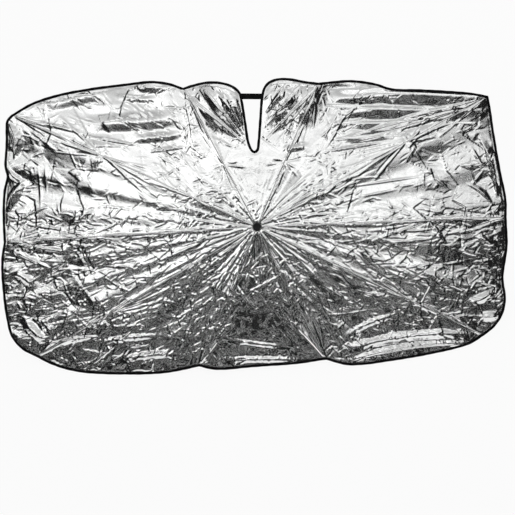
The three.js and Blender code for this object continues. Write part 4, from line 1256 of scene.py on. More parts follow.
    def crinkles(self, count: int, lengths: tuple[float, float], widths: tuple[float, float],
                 slopes: tuple[float, float], radial: float) -> None:
        """Short straight creases everywhere.

        Args:
            count: How many.
            lengths: Shortest and longest.
            widths: Narrowest and widest half width.
            slopes: Gentlest and steepest flank.
            radial: Share of them that run roughly away from the crown.
        """
        for _ in range(count):
            place = (self.between(-0.70, 0.70), self.between(-0.40, 0.40))
            is_quiet = place[1] > 0.03 and abs(place[0]) > 0.26
            if is_quiet and self.random.random() < self.QUIET_SHARE:
                continue
            out = math.atan2(place[1], place[0])
            turn = out + self.between(-0.5, 0.5) if self.random.random() < radial \
                else self.between(0.0, math.pi)
            long = self.between(*lengths)
            wide = self.between(*widths)
            sign = 1 if self.random.random() < 0.6 else -1
            height = wide * self.between(*slopes) * sign
            profile = RIDGE if self.random.random() < 0.6 else PLEAT
            self.sheet.add(Fold(place, polar(place, turn, long), wide, height, profile,
                                bend=long * self.between(-0.06, 0.06)))


@dataclass
class Cloth:
    """The whole canopy as one crumpled sheet, later dealt out to the ribs' links."""

    space: ShadeSpace
    pitch: float = 0.0022
    thickness: float = 0.0006
    trim: float = 0.0030
    hem_band: float = 0.012
    rib_slack: float = 0.0004
    rib_half: float = 0.0030
    rib_flank: float = 0.42
    outline: Outline = field(init=False)
    form: CanopyForm = field(init=False)
    folds: FoldSheet = field(init=False)
    edge: Array = field(init=False)
    edge_heights: Array = field(init=False)
    flat: Array = field(init=False)
    faces: Array = field(init=False)
    owner: Array = field(init=False)
    points: Array = field(init=False)
    normals: Array = field(init=False)

    # A place's owner is its rib's index times this, plus its link's
    RIB_STEP = 10

    def __post_init__(self) -> None:
        """Crumples the cloth, binds its hem and spreads it over the ribs."""
        self.outline = Outline()
        self.form = CanopyForm(self.outline)
        self.folds = FoldSheet(self.pitch)
        Crumpler(self.folds).lay()
        self.edge = self.outline.moved_in(self.trim)
        self.edge_heights = self.tape_heights(self.trim)
        self.spread_out()

    def raw_heights(self, points: Array) -> Array:
        """Height of the crumpled cloth at points, before its hem is bound."""
        return self.form.heights(points) + np.maximum(self.folds.at(points), self.depth(points))

    def depth(self, points: Array) -> Array:
        """How far the folds may go in: hardly at all where the cloth lies on a rib.

        Args:
            points: Rows of x, y in the shade's plane.

        Returns:
            The lowest height of a fold at each.
        """
        near = np.full(len(points), np.inf)
        for rib in RIBS:
            along = points @ rib.direction
            across = np.abs(points @ np.array([-rib.direction[1], rib.direction[0]]))
            near = np.minimum(near, np.where(along > 0, across, np.hypot(along, across)))
        return -self.rib_slack - self.rib_flank * np.clip(near - self.rib_half, 0.0, None)

    def tape_heights(self, distance: float) -> Array:
        """Height of the binding along the hem: the cloth's there, evened out by the stiff tape.

        Args:
            distance: How far inside the hem the heights are taken.

        Returns:
            One height for each point of the outline.
        """
        raw = self.raw_heights(self.outline.moved_in(distance))
        kernel = np.hanning(9)
        kernel /= kernel.sum()
        wrapped = np.concatenate([raw[-4:], raw, raw[:4]])
        return np.convolve(wrapped, kernel, mode="valid")

    def inside(self, x: Array, y: Array) -> Array:
        """Which points of a raster lie inside the trimmed hem.

        Args:
            x: The raster's places to the right.
            y: Its places upwards.

        Returns:
            True or false for each, row by row.
        """
        a, b = self.edge, np.roll(self.edge, -1, axis=0)
        out = np.zeros((len(y), len(x)), bool)
        for row, level in enumerate(y):
            crossed = (a[:, 1] > level) != (b[:, 1] > level)
            p, q = a[crossed], b[crossed]
            cuts = np.sort(p[:, 0] + (level - p[:, 1]) / (q[:, 1] - p[:, 1]) * (q[:, 0] - p[:, 0]))
            out[row] = np.searchsorted(cuts, x) % 2 == 1
        return out

    def spread_out(self) -> None:
        """Makes the sheet's grid, ties its edges to the hem and the links, and sets its heights."""
        x, y = self.folds.x, self.folds.y
        middle_x, middle_y = x[:-1] + self.pitch / 2, y[:-1] + self.pitch / 2
        kept = self.inside(middle_x, middle_y)
        mx, my = np.meshgrid(middle_x, middle_y)
        kept &= np.hypot(mx, my) > self.form.HOLE_R
        rows, columns = np.nonzero(kept)
        wide = len(x)
        corner = rows * wide + columns
        faces = np.stack([corner, corner + 1, corner + wide + 1, corner + wide], axis=1)
        gx, gy = np.meshgrid(x, y)
        flat = np.stack([gx.ravel(), gy.ravel()], axis=1)
        owners = self.owners(np.stack([mx[kept], my[kept]], axis=1))
        used = np.unique(faces)
        count = np.bincount(faces.ravel(), minlength=len(flat))
        flat = self.tie_to_links(flat, faces, owners)
        edge = used[count[used] < 4]
        flat = self.tie_to_hem(flat, edge)
        number = np.full(len(flat), -1)
        number[used] = np.arange(len(used))
        self.flat = flat[used]
        self.faces = number[faces]
        self.owner = owners
        self.points = np.column_stack([self.flat, self.bound_heights(self.flat)])
        self.normals = self.vertex_normals()

    @staticmethod
    def owners(points: Array) -> Array:
        """The rib and the link that each place of the cloth goes with, as one number.

        Args:
            points: Rows of x, y in the shade's plane.

        Returns:
            One number for each point.
        """
        gore, share = CanopyForm.gore_of(points)
        rib = np.where(share < 0.5, gore, (gore + 1) % len(RIBS))
        directions = np.array([r.direction for r in RIBS])
        along = (points * directions[rib]).sum(axis=1)
        is_long = np.array([r.is_long for r in RIBS])[rib]
        part = (along > FIRST_JOINT_R).astype(int) + ((along > SECOND_JOINT_R) & is_long)
        return rib * Cloth.RIB_STEP + part

    @staticmethod
    def tie_to_links(flat: Array, faces: Array, owners: Array) -> Array:
        """Moves corners between two owners onto the line that parts them.

        Args:
            flat: All grid points.
            faces: Corner numbers of each face.
            owners: Owner of each face.

        Returns:
            The grid points with those corners moved.
        """
        low = np.full(len(flat), len(RIBS) * Cloth.RIB_STEP)
        high = np.full(len(flat), -1)
        for corner in range(4):
            np.minimum.at(low, faces[:, corner], owners)
            np.maximum.at(high, faces[:, corner], owners)
        shared = np.nonzero((high >= 0) & (low != high))[0]
        for vertex in shared:
            first = divmod(int(low[vertex]), Cloth.RIB_STEP)
            second = divmod(int(high[vertex]), Cloth.RIB_STEP)
            point = flat[vertex]
            if first[0] != second[0]:
                a, b = RIBS[first[0]].azimuth, RIBS[second[0]].azimuth
                if abs(b - a) > math.pi:
                    a += 2 * math.pi
                middle = 0.5 * (a + b)
                ray = np.array([math.cos(middle), math.sin(middle)])
                flat[vertex] = ray * max(0.0, float(point @ ray))
            else:
                ray = RIBS[first[0]].direction
                line = FIRST_JOINT_R if min(first[1], second[1]) == 0 else SECOND_JOINT_R
                flat[vertex] = point + ray * (line - float(point @ ray))
        return flat

    def tie_to_hem(self, flat: Array, edge: Array) -> Array:
        """Moves the corners along the cloth's edge onto the trimmed hem.

        Args:
            flat: All grid points.
            edge: Numbers of the corners along the edge.

        Returns:
            The grid points with those corners moved.
        """
        a, b = self.edge, np.roll(self.edge, -1, axis=0)
        run = b - a
        long = (run * run).sum(axis=1)
        for vertex in edge:
            point = flat[vertex]
            if point @ point < 4 * self.form.HOLE_R ** 2:
                continue
            t = np.clip(((point - a) * run).sum(axis=1) / long, 0.0, 1.0)
            near = a + t[:, None] * run
            flat[vertex] = near[np.argmin(((near - point) ** 2).sum(axis=1))]
        return flat

    def bound_heights(self, points: Array) -> Array:
        """Heights of the cloth with its edge held in the binding.

        Args:
            points: Rows of x, y in the shade's plane.

        Returns:
            The height at each.
        """
        raw = self.raw_heights(points)
        out = raw.copy()
        step = 4000  # points taken at a time, to spare memory
        for start in range(0, len(points), step):
            some = points[start:start + step]
            far = ((some[:, None, :] - self.edge[None, :, :]) ** 2).sum(axis=2)
            nearest = far.argmin(axis=1)
            distance = np.sqrt(far[np.arange(len(some)), nearest])
            free = smoothstep(distance / self.hem_band)
            out[start:start + step] = free * raw[start:start + step] \
                + (1 - free) * self.edge_heights[nearest]
        return out

    def vertex_normals(self) -> Array:
        """Normals of the whole sheet, so that its parts meet without a line.

        Returns:
            One for each point.
        """
        a, b, c, d = (self.points[self.faces[:, k]] for k in range(4))
        facing = np.cross(c - a, d - b)
        out = np.zeros_like(self.points)
        for corner in range(4):
            np.add.at(out, self.faces[:, corner], facing)
        return out / np.linalg.norm(out, axis=1)[:, None]


@dataclass(frozen=True)
class LinkShare:
    """One rib's link and what the soft pieces on it need to fold with it."""

    rib: Rib
    part: int
    space: ShadeSpace
    keep: float = 0.03

    @property
    def body(self) -> str:
        """The frame's body that carries the piece."""
        return self.rib.links[self.part]

    def carry(self, piece: bpy.types.Object) -> None:
        """Lets a piece ride on the link.

        Args:
            piece: The piece.
        """
        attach(piece, self.body)
        across = self.space.direction((-self.rib.direction[1], self.rib.direction[0], 0.0))
        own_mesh(piece)


def link_shares(space: ShadeSpace) -> list[LinkShare]:
    """Every link of every rib."""
    return [LinkShare(rib, part, space) for rib in RIBS for part in range(len(rib.links))]


def placed(name: str, data: bpy.types.ID) -> bpy.types.Object:
    """Puts a new object of a mesh, a lamp or a camera into the scene.

    Args:
        name: Its name.
        data: What it is made of.

    Returns:
        The object.
    """
    item = bpy.data.objects.new(name, data)
    bpy.context.scene.collection.objects.link(item)
    return item


def finished(name: str, bm: bmesh.types.BMesh) -> bpy.types.Mesh:
    """Makes a mesh of a bmesh, which is freed.

    Args:
        name: The mesh's name.
        bm: The bmesh.

    Returns:
        The mesh.
    """
    mesh = bpy.data.meshes.new(name)
    bm.to_mesh(mesh)
    bm.free()
    return mesh


def mesh_object(mesh: bpy.types.Mesh, finishes: Sequence[Finish]) -> bpy.types.Object:
    """Makes an object of a mesh in the row frame, under the mesh's own name.

    Args:
        mesh: The mesh.
        finishes: Its materials, in the order of its slots.

    Returns:
        The object.
    """
    piece = placed(mesh.name, mesh)
    for finish in finishes:
        mesh.materials.append(finish.material())
    return piece


@dataclass
class Canopy:
    """The cloth's visible pieces, one for each link, silver outside and dark inside."""

    space: ShadeSpace
    cloth: Cloth = field(init=False)

    def __post_init__(self) -> None:
        """Crumples the cloth."""
        self.cloth = Cloth(self.space)

    def build(self) -> None:
        """Makes all the pieces."""
        for share in link_shares(self.space):
            piece = self.piece(share)
            LOG.info("%s: %d faces", piece.name, len(piece.data.polygons))

    def piece(self, share: LinkShare) -> bpy.types.Object:
        """Makes the cloth over one link, as a thin closed body.

        Args:
            share: The link.

        Returns:
            The object.
        """
        cloth = self.cloth
        index = RIBS.index(share.rib)
        faces = cloth.faces[cloth.owner == index * cloth.RIB_STEP + share.part]
        used, local = np.unique(faces, return_inverse=True)
        local = local.reshape(faces.shape)
        top = cloth.points[used]
        normals = cloth.normals[used]
        count = len(used)
        below = top - normals * cloth.thickness
        rim = self.rim(local)
        sides = np.stack([rim[:, 1], rim[:, 0], rim[:, 0] + count, rim[:, 1] + count], axis=1)
        quads = np.vstack([local, local[:, ::-1] + count, sides])
        mesh = bpy.data.meshes.new(f"canopy_{share.body}")
        mesh.from_pydata(self.space.to_row(np.vstack([top, below])).tolist(), [], quads.tolist())
        self.add_maps(mesh, share, np.vstack([cloth.flat[used]] * 2))
        piece = mesh_object(mesh, (FOIL, LINING))
        materials = np.zeros(len(quads), np.int32)
        materials[len(local):2 * len(local)] = 1
        mesh.polygons.foreach_set("material_index", materials)
        mesh.polygons.foreach_set("use_smooth", np.ones(len(quads), bool))
        turned = np.vstack([normals, -normals]) @ self.space.axes
        mesh.normals_split_custom_set_from_vertices(turned.tolist())
        self.declare(piece, share)
        return piece

    @staticmethod
    def rim(faces: Array) -> Array:
        """Edges that only one face has.

        Args:
            faces: Corner numbers of each face.

        Returns:
            The two corners of each such edge, in its face's own direction.
        """
        edges = np.vstack([faces[:, [k, (k + 1) % 4]] for k in range(4)])
        key = np.sort(edges, axis=1)
        _, first, uses = np.unique(key, axis=0, return_index=True, return_counts=True)
        return edges[first[uses == 1]]

    @staticmethod
    def add_maps(mesh: bpy.types.Mesh, share: LinkShare, flat: Array) -> None:
        """Adds a map of the flat cloth, and one along and across the rib, in metres.

        Args:
            mesh: The piece's mesh.
            share: The link that it lies on.
            flat: Where each of its points lies on the flat cloth.
        """
        corners = np.zeros(len(mesh.loops), np.int32)
        mesh.loops.foreach_get("vertex_index", corners)
        along = flat @ share.rib.direction
        across = flat @ np.array([-share.rib.direction[1], share.rib.direction[0]]) + 0.5
        maps = {"Cloth": flat, "Rib": np.stack([along, across], axis=1)}
        for name, values in maps.items():
            layer = mesh.uv_layers.new(name=name)
            layer.data.foreach_set("uv", values[corners].astype(np.float32).ravel())

    def declare(self, piece: bpy.types.Object, share: LinkShare) -> None:
        """Rides one piece of cloth on its link and hides the frame's own panels on either side of its rib.

        Args:
            piece: The piece.
            share: The link that it lies on.
        """
        share.carry(piece)
        index = RIBS.index(share.rib)
        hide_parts(f"gore_{(index - 1) % len(RIBS) + 1:02d}", f"gore_{index + 1:02d}")
        share.body


@dataclass
class Binding:
    """The folded tape round the hem, in one piece for each rib's outermost link."""

    cloth: Cloth
    space: ShadeSpace
    width: float = 0.0074
    high: float = 0.0026
    sides: int = 12
    centres: Array = field(init=False)
    levels: Array = field(init=False)

    # How much the tape's width swings along the hem, and how far round for each point of it
    SWINGS = ((0.05, 0.9), (0.04, 0.37))

    def __post_init__(self) -> None:
        """Finds the tape's middle line."""
        self.centres = self.cloth.outline.moved_in(self.width / 2)
        self.levels = self.cloth.tape_heights(self.width / 2)

    def build(self) -> None:
        """Makes all the pieces of tape."""
        owner = Cloth.owners(self.centres) // Cloth.RIB_STEP
        for index, rib in enumerate(RIBS):
            run = np.nonzero(owner == index)[0]
            gap = np.nonzero(np.diff(run) > 1)[0]
            if len(gap):
                run = np.concatenate([run[gap[0] + 1:], run[:gap[0] + 1]])
            following = (run[-1] + 1) % len(owner)
            share = LinkShare(rib, len(rib.links) - 1, self.space)
            piece = self.piece(share, np.append(run, following))
            LOG.info("%s: %d faces", piece.name, len(piece.data.polygons))

    def section(self) -> Array:
        """The tape's section, a flat oval that thins towards the cloth.

        Returns:
            Rows of shares of its half width and half height.
        """
        turn = 2 * math.pi * np.arange(self.sides) / self.sides
        across = np.sign(np.cos(turn)) * np.abs(np.cos(turn)) ** 0.8
        up = np.sign(np.sin(turn)) * np.abs(np.sin(turn)) ** 0.55
        return np.stack([across, up * (1.0 - 0.18 * (across < 0))], axis=1)

    def piece(self, share: LinkShare, run: Array) -> bpy.types.Object:
        """Makes the tape along one stretch of the hem.

        Args:
            share: The link that carries it.
            run: Numbers of the outline's points along it.

        Returns:
            The object.
        """
        name = f"binding_{share.rib.label}"
        section = self.section()
        half = self.width / 2
        rings = []
        for station in run:
            out = self.cloth.outline.outward[station]
            wobble = 1.0
            for swing, pace in self.SWINGS:
                wobble += swing * math.sin(pace * station)
            ring = np.zeros((self.sides, 3))
            ring[:, :2] = self.centres[station] + section[:, :1] * half * wobble * out
            ring[:, 2] = self.levels[station] + section[:, 1] * self.high / 2
            rings.append(ring)
        piece = tube_piece(name, self.space, np.array(rings), TAPE)
        share.carry(piece)
        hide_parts("edge_binding")
        return piece


def lay_rings(bm: bmesh.types.BMesh, places: Array) -> dict[bmesh.types.BMVert, tuple[int, int]]:
    """Lays a grid of faces through rings of points, each ring's end upon its start.

    Args:
        bm: The bmesh that takes the faces.
        places: Rings by points by x, y, z, in the row frame.

    Returns:
        For each new corner, the number of its ring and of its point.
    """
    rings, sides = places.shape[:2]
    made = bmesh.ops.create_grid(bm, x_segments=sides, y_segments=rings - 1, size=1.0)
    spots = {}
    for vertex in made["verts"]:
        side = round((vertex.co.x + 1.0) / 2.0 * sides)
        ring = round((vertex.co.y + 1.0) / 2.0 * (rings - 1))
        spots[vertex] = (ring, side)
        vertex.co = places[ring, side % sides]
    return spots


def tube_piece(name: str, space: ShadeSpace, rings: Array, finish: Finish,
               ) -> bpy.types.Object:
    """Joins rings of points into a closed tube with flat ends.

    Args:
        name: The piece's name.
        space: Where the shade lies.
        rings: Stations by points by x, y, z, in the shade's space.
        finish: Its material.

    Returns:
        The object, in the row frame.
    """
    bm = bmesh.new()
    layer = bm.loops.layers.uv.new("Cloth")
    spots = lay_rings(bm, space.to_row(rings.reshape(-1, 3)).reshape(rings.shape))
    steps = np.linalg.norm(np.diff(rings.mean(axis=1), axis=0), axis=1)
    runs = np.concatenate([[0.0], np.cumsum(steps)])
    girth = np.linalg.norm(rings[0] - np.roll(rings[0], -1, axis=0), axis=1).sum()
    for face in bm.faces:
        for loop in face.loops:
            station, side = spots[loop.vert]
            loop[layer].uv = (runs[station], girth * side / rings.shape[1])
    bmesh.ops.remove_doubles(bm, verts=bm.verts, dist=MERGE)
    bmesh.ops.holes_fill(bm, edges=[edge for edge in bm.edges if edge.is_boundary], sides=0)
    bmesh.ops.recalc_face_normals(bm, faces=bm.faces)
    for face in bm.faces:
        face.smooth = len(face.verts) == 4
    return mesh_object(finished(name, bm), (finish,))


# Turned pieces on the shaft


@dataclass(frozen=True)
class Turning:
    """A piece turned about the shaft's axis from a closed half profile of radius and height."""

    name: str
    profile: tuple[Point, ...]
    finish: Finish
    slot: str
    segments: int = 64
    edge: float = 0.0004

    ROUNDED_DEG = 35.0
    SHARP_DEG = 32.0

    def body(self) -> bmesh.types.BMesh:
        """Spins the profile into a closed body, with its sharp edges rounded.

        Returns:
            The body, about the shaft's axis in the shade's space.
        """
        bm = bmesh.new()
        verts = [bm.verts.new((radius, 0.0, height)) for radius, height in self.profile]
        edges = [bm.edges.new(pair) for pair in zip(verts, verts[1:] + verts[:1])]
        bmesh.ops.spin(bm, geom=verts + edges, cent=(0, 0, 0), axis=(0, 0, 1),
                       angle=2 * math.pi, steps=self.segments, use_merge=True)
        bmesh.ops.remove_doubles(bm, verts=bm.verts, dist=MERGE)
        bmesh.ops.dissolve_degenerate(bm, edges=bm.edges, dist=MERGE / 10)
        bmesh.ops.recalc_face_normals(bm, faces=bm.faces)
        limit = math.radians(self.ROUNDED_DEG)
        sharp = [edge for edge in bm.edges
                 if len(edge.link_faces) == 2 and edge.calc_face_angle(0.0) > limit]
        if self.edge:
            bmesh.ops.bevel(bm, geom=sharp, offset=self.edge, segments=2, profile=0.5,
                            affect="EDGES", material=-1, clamp_overlap=True)
        return bm

    def build(self, space: ShadeSpace, body: str, node: str) -> bpy.types.Object:
        """Makes the piece in the row frame, in place of a node.

        Args:
            space: Where the shade lies.
            body: The body that it rides on.
            node: The node that it stands for.

        Returns:
            The object.
        """
        bm = self.body()
        bmesh.ops.transform(bm, matrix=space.matrix(), verts=bm.verts)
        for face in bm.faces:
            face.smooth = True
        mesh = finished(self.name, bm)
        mesh.set_sharp_from_angle(angle=math.radians(self.SHARP_DEG))
        piece = mesh_object(mesh, (self.finish,))
        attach(piece, body)
        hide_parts(node)
        LOG.info("%s: %d faces", self.name, len(mesh.polygons))
        return piece


@dataclass
class ShaftSet:
    """Cap, tube and handle: what is turned about the shaft."""

    space: ShadeSpace
    shaft_r: float = 0.004
    wall: float = 0.0007
    bottom: float = -0.305
    shaft_foot: float = 0.009
    shaft_top: float = 0.0035
    cap_r: float = 0.0115
    cap_high: float = 0.008
    cap_foot: float = 0.0034
    cap_plug_r: float = 0.003
    cap_plug_long: float = 0.009
    cap_hollow_r: float = 0.005
    cap_hollow_deep: float = 0.0014
    cap_dish: float = 0.0004
    grip_foot: float = 0.0053
    grip_top: float = 0.060
    grip_bore_r: float = 0.0043
    grip_steps: int = 46
    groove_deep: float = 0.00055

    # The grip's radius at shares of its height, and the shares between which its grooves lie
    GRIP = ((0.0, 0.0094), (0.2, 0.0105), (0.42, 0.0105), (0.62, 0.0093), (0.82, 0.0082),
            (1.0, 0.0082))
    GROOVED = (0.2, 0.65)
    GROOVES = 4.5

    # Half profile of the handle's end: radii, and heights above its bottom
    HANDLE_END = ((0.0, 0.0), (0.0050, 0.0003), (0.0078, 0.0012), (0.0090, 0.0028),
                  (0.0094, 0.0050), (0.0030, 0.0050), (0.0030, 0.017), (0.0, 0.017))

    def build(self) -> None:
        """Makes every turned piece."""
        self.tube()
        self.cap()
        self.grip()
        end = tuple((radius, self.bottom + above) for radius, above in self.HANDLE_END)
        Turning("handle_end", end, MOULDED, "plastic", segments=64, edge=0.0002,
                ).build(self.space, "shade", "handle_cap")

    def tube(self) -> None:
        """Makes the shaft's tube."""
        low, inner = self.bottom + self.shaft_foot, self.shaft_r - self.wall
        walls = ((inner, low), (self.shaft_r, low), (self.shaft_r, self.shaft_top),
                 (inner, self.shaft_top))
        Turning("shaft", walls, PLATED, "steel", segments=48, edge=0.0001,
                ).build(self.space, "shade", "shaft_tube")

    def cap(self) -> None:
        """Makes the cap, with a plug below and a dish in its top."""
        foot, top = self.cap_foot, self.cap_foot + self.cap_high
        plug, hollow, wide = self.cap_plug_r, self.cap_hollow_r, self.cap_r
        under, dish = foot + self.cap_hollow_deep, top - self.cap_dish
        profile = (
            (0.0, foot - self.cap_plug_long), (plug, foot - self.cap_plug_long), (plug, under),
            (hollow, under), (hollow, foot), (wide, foot), (wide, foot + 0.0042),
            (wide * 0.965, foot + 0.0062), (wide * 0.87, dish), (wide * 0.78, top),
            (wide * 0.70, top), (wide * 0.68, dish), (0.0, dish))
        Turning("cap", profile, MOULDED, "plastic", segments=72, edge=0.0002,
                ).build(self.space, "shade", "ferrule_cap")

    def grip(self) -> None:
        """Makes the handle, with its finger grooves."""
        bottom, top = self.bottom + self.grip_foot, self.bottom + self.grip_top
        shares, radii = zip(*self.GRIP)
        first, last = self.GROOVED
        outer = []
        for step in range(self.grip_steps + 1):
            share = step / self.grip_steps
            wave = math.sin(2 * math.pi * self.GROOVES * (share - first))
            cut = self.groove_deep * max(0.0, wave) if first < share < last else 0.0
            outer.append((float(np.interp(share, shares, radii)) - cut,
                          bottom + share * (top - bottom)))
        profile = ((self.grip_bore_r, bottom), *outer, (self.grip_bore_r, top))
        Turning("handle", profile, MOULDED, "plastic", segments=64, edge=0.0,
                ).build(self.space, "shade", "handle_grip")


@dataclass
class NotchStrap:
    """The strap across the notch's mouth, over the left flap and under the right one."""

    cloth: Cloth
    space: ShadeSpace
    low: float = 0.350
    wide: float = 0.016
    thick: float = 0.0012
    left: float = -0.063
    right: float = 0.024
    left_edge: float = -0.041
    right_edge: float = 0.011
    stations: int = 46
    over_rib: float = 0.0024
    under_rib: float = 0.0030
    edge_clear: float = 0.007
    fall_deg: float = 7.0
    end_blunt: float = 0.02

    # Corners of the band's section, as shares of its half width and half thickness
    SECTION = ((-1.0, -0.4), (-0.9, -1.0), (0.9, -1.0), (1.0, -0.4),
               (1.0, 0.4), (0.9, 1.0), (-0.9, 1.0), (-1.0, 0.4))

    def build(self) -> None:
        """Makes the strap as one bent band with a rounded free end."""
        rings = [self.ring(x) for x in np.linspace(self.left, self.right, self.stations)]
        piece = tube_piece("notch_strap_band", self.space, np.array(rings), STRAP)
        LinkShare(RIBS[3], 1, self.space).carry(piece)
        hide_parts("notch_strap")
        LOG.info("%s: %d faces", piece.name, len(piece.data.polygons))

    def ring(self, x: float) -> list[tuple[float, float, float]]:
        """The band's section at one place along it.

        Args:
            x: How far to the right the place lies.

        Returns:
            The section's corners.
        """
        middle = self.low + self.wide / 2
        from_end = (x - self.left) / (self.wide / 2)
        half = self.wide / 2 * math.sqrt(max(self.end_blunt, 1 - max(0.0, 1 - from_end) ** 2))
        on_rib = self.cloth.form.rib_height(np.array([math.hypot(x, middle)]))[0]
        between = self.right_edge - self.left_edge - 2 * self.edge_clear
        cross = float(smoothstep(np.array((x - self.left_edge - self.edge_clear) / between)))
        level = on_rib + (1 - cross) * self.over_rib - cross * self.under_rib
        fall = math.tan(math.radians(self.fall_deg))
        return [(x, middle + across * half, level - fall * across * half + up * self.thick / 2)
                for across, up in self.SECTION]


# Thread loops and the frame's own solids


@dataclass(frozen=True)
class TieSeat:
    """Where thread loops lie along one kind of link, and that link's section."""

    radii: tuple[float, ...]
    half_wide: float
    bottom: float


@dataclass
class RibTies:
    """Loops of thread that hold the cloth to every link of the frame."""

    form: CanopyForm
    space: ShadeSpace
    thread_r: float = 0.0004
    sides: int = 6
    steps: int = 18
    under_cloth: float = 0.0004

    # How square a loop lies round its link, and how far below and beside it, in thread radii
    SQUARENESS = 0.7
    BELOW = 1.3
    BESIDE = 1.6

    SEATS = {
        "inner": TieSeat((0.060, 0.155), 0.0014, -0.0013),
        "middle": TieSeat((0.250, 0.335, 0.425), 0.0022, -0.00245),
        "short": TieSeat((0.250, 0.320), 0.0022, -0.00245),
        "outer": TieSeat((0.530, 0.610), 0.0012, -0.0011),
    }

    def build(self) -> None:
        """Makes the loops of every link."""
        for share in link_shares(self.space):
            self.piece(share)

    def loop(self, share: LinkShare, seat: TieSeat, radius: float) -> Array:
        """Points of one loop's surface.

        Args:
            share: The link.
            seat: The link's section.
            radius: How far from the crown the loop lies.

        Returns:
            Steps round the link by sides of the thread by x, y, z.
        """
        out = np.append(share.rib.direction, 0.0)
        side = np.array([-share.rib.direction[1], share.rib.direction[0], 0.0])
        up = np.array([0.0, 0.0, 1.0])
        level = float(self.form.rib_height(np.array([radius]))[0])
        top = level - self.under_cloth
        bottom = level - self.form.ABOVE_RIBS + seat.bottom - self.BELOW * self.thread_r
        turn = 2 * math.pi * np.arange(self.steps) / self.steps
        across = np.sign(np.cos(turn)) * np.abs(np.cos(turn)) ** self.SQUARENESS
        rise = np.sign(np.sin(turn)) * np.abs(np.sin(turn)) ** self.SQUARENESS
        centre = out * radius + up * 0.5 * (top + bottom)
        half_wide = seat.half_wide + self.BESIDE * self.thread_r
        path = centre + np.outer(across * half_wide, side) \
            + np.outer(rise * 0.5 * (top - bottom), up)
        away = path - centre
        away /= np.linalg.norm(away, axis=1)[:, None]
        ring = 2 * math.pi * np.arange(self.sides) / self.sides
        return path[:, None, :] + self.thread_r * (
            np.cos(ring)[None, :, None] * away[:, None, :]
            + np.sin(ring)[None, :, None] * out[None, None, :])

    def piece(self, share: LinkShare) -> None:
        """Makes the loops along one link.

        Args:
            share: The link.
        """
        seat = self.SEATS[share.body.split("_")[0]]
        bm = bmesh.new()
        for radius in seat.radii:
            rings = self.loop(share, seat, radius)
            closed = np.concatenate([rings, rings[:1]])
            lay_rings(bm, self.space.to_row(closed.reshape(-1, 3)).reshape(closed.shape))
        bmesh.ops.remove_doubles(bm, verts=bm.verts, dist=MERGE)
        bmesh.ops.recalc_face_normals(bm, faces=bm.faces)
        for face in bm.faces:
            face.smooth = True
        piece = mesh_object(finished(f"ties_{share.body}", bm), (THREAD,))
        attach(piece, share.body)
        LOG.info("%s: %d loops", piece.name, len(seat.radii))


class FrameLinks:
    """Gives the frame's own solids their finishes."""

    FINISHES = {"steel": PLATED, "plastic": MOULDED, "glassfibre": ROD,
                "foil": FOIL, "webbing": TAPE}

    def dress(self) -> None:
        """Puts a finish on every node, by its slot in the record."""
        slots = {part["node"]: part["material_slot"] for part in frame["record"]["subparts"]}
        for name, node in frame["nodes"].items():
            finish = self.FINISHES[slots[name]]
            node.data.materials.clear()
            node.data.materials.append(finish.material())
        LOG.info("frame: %d nodes finished", len(slots))


# Studio


@dataclass(frozen=True)
class SoftBox:
    """A soft box that hangs in some direction from the crown and faces it.

    The radiance says how bright its face is, where a white card that is lit all round has 1.
    """

    name: str
    up_deg: float
    right_deg: float
    far: float
    size: Point
    radiance: float


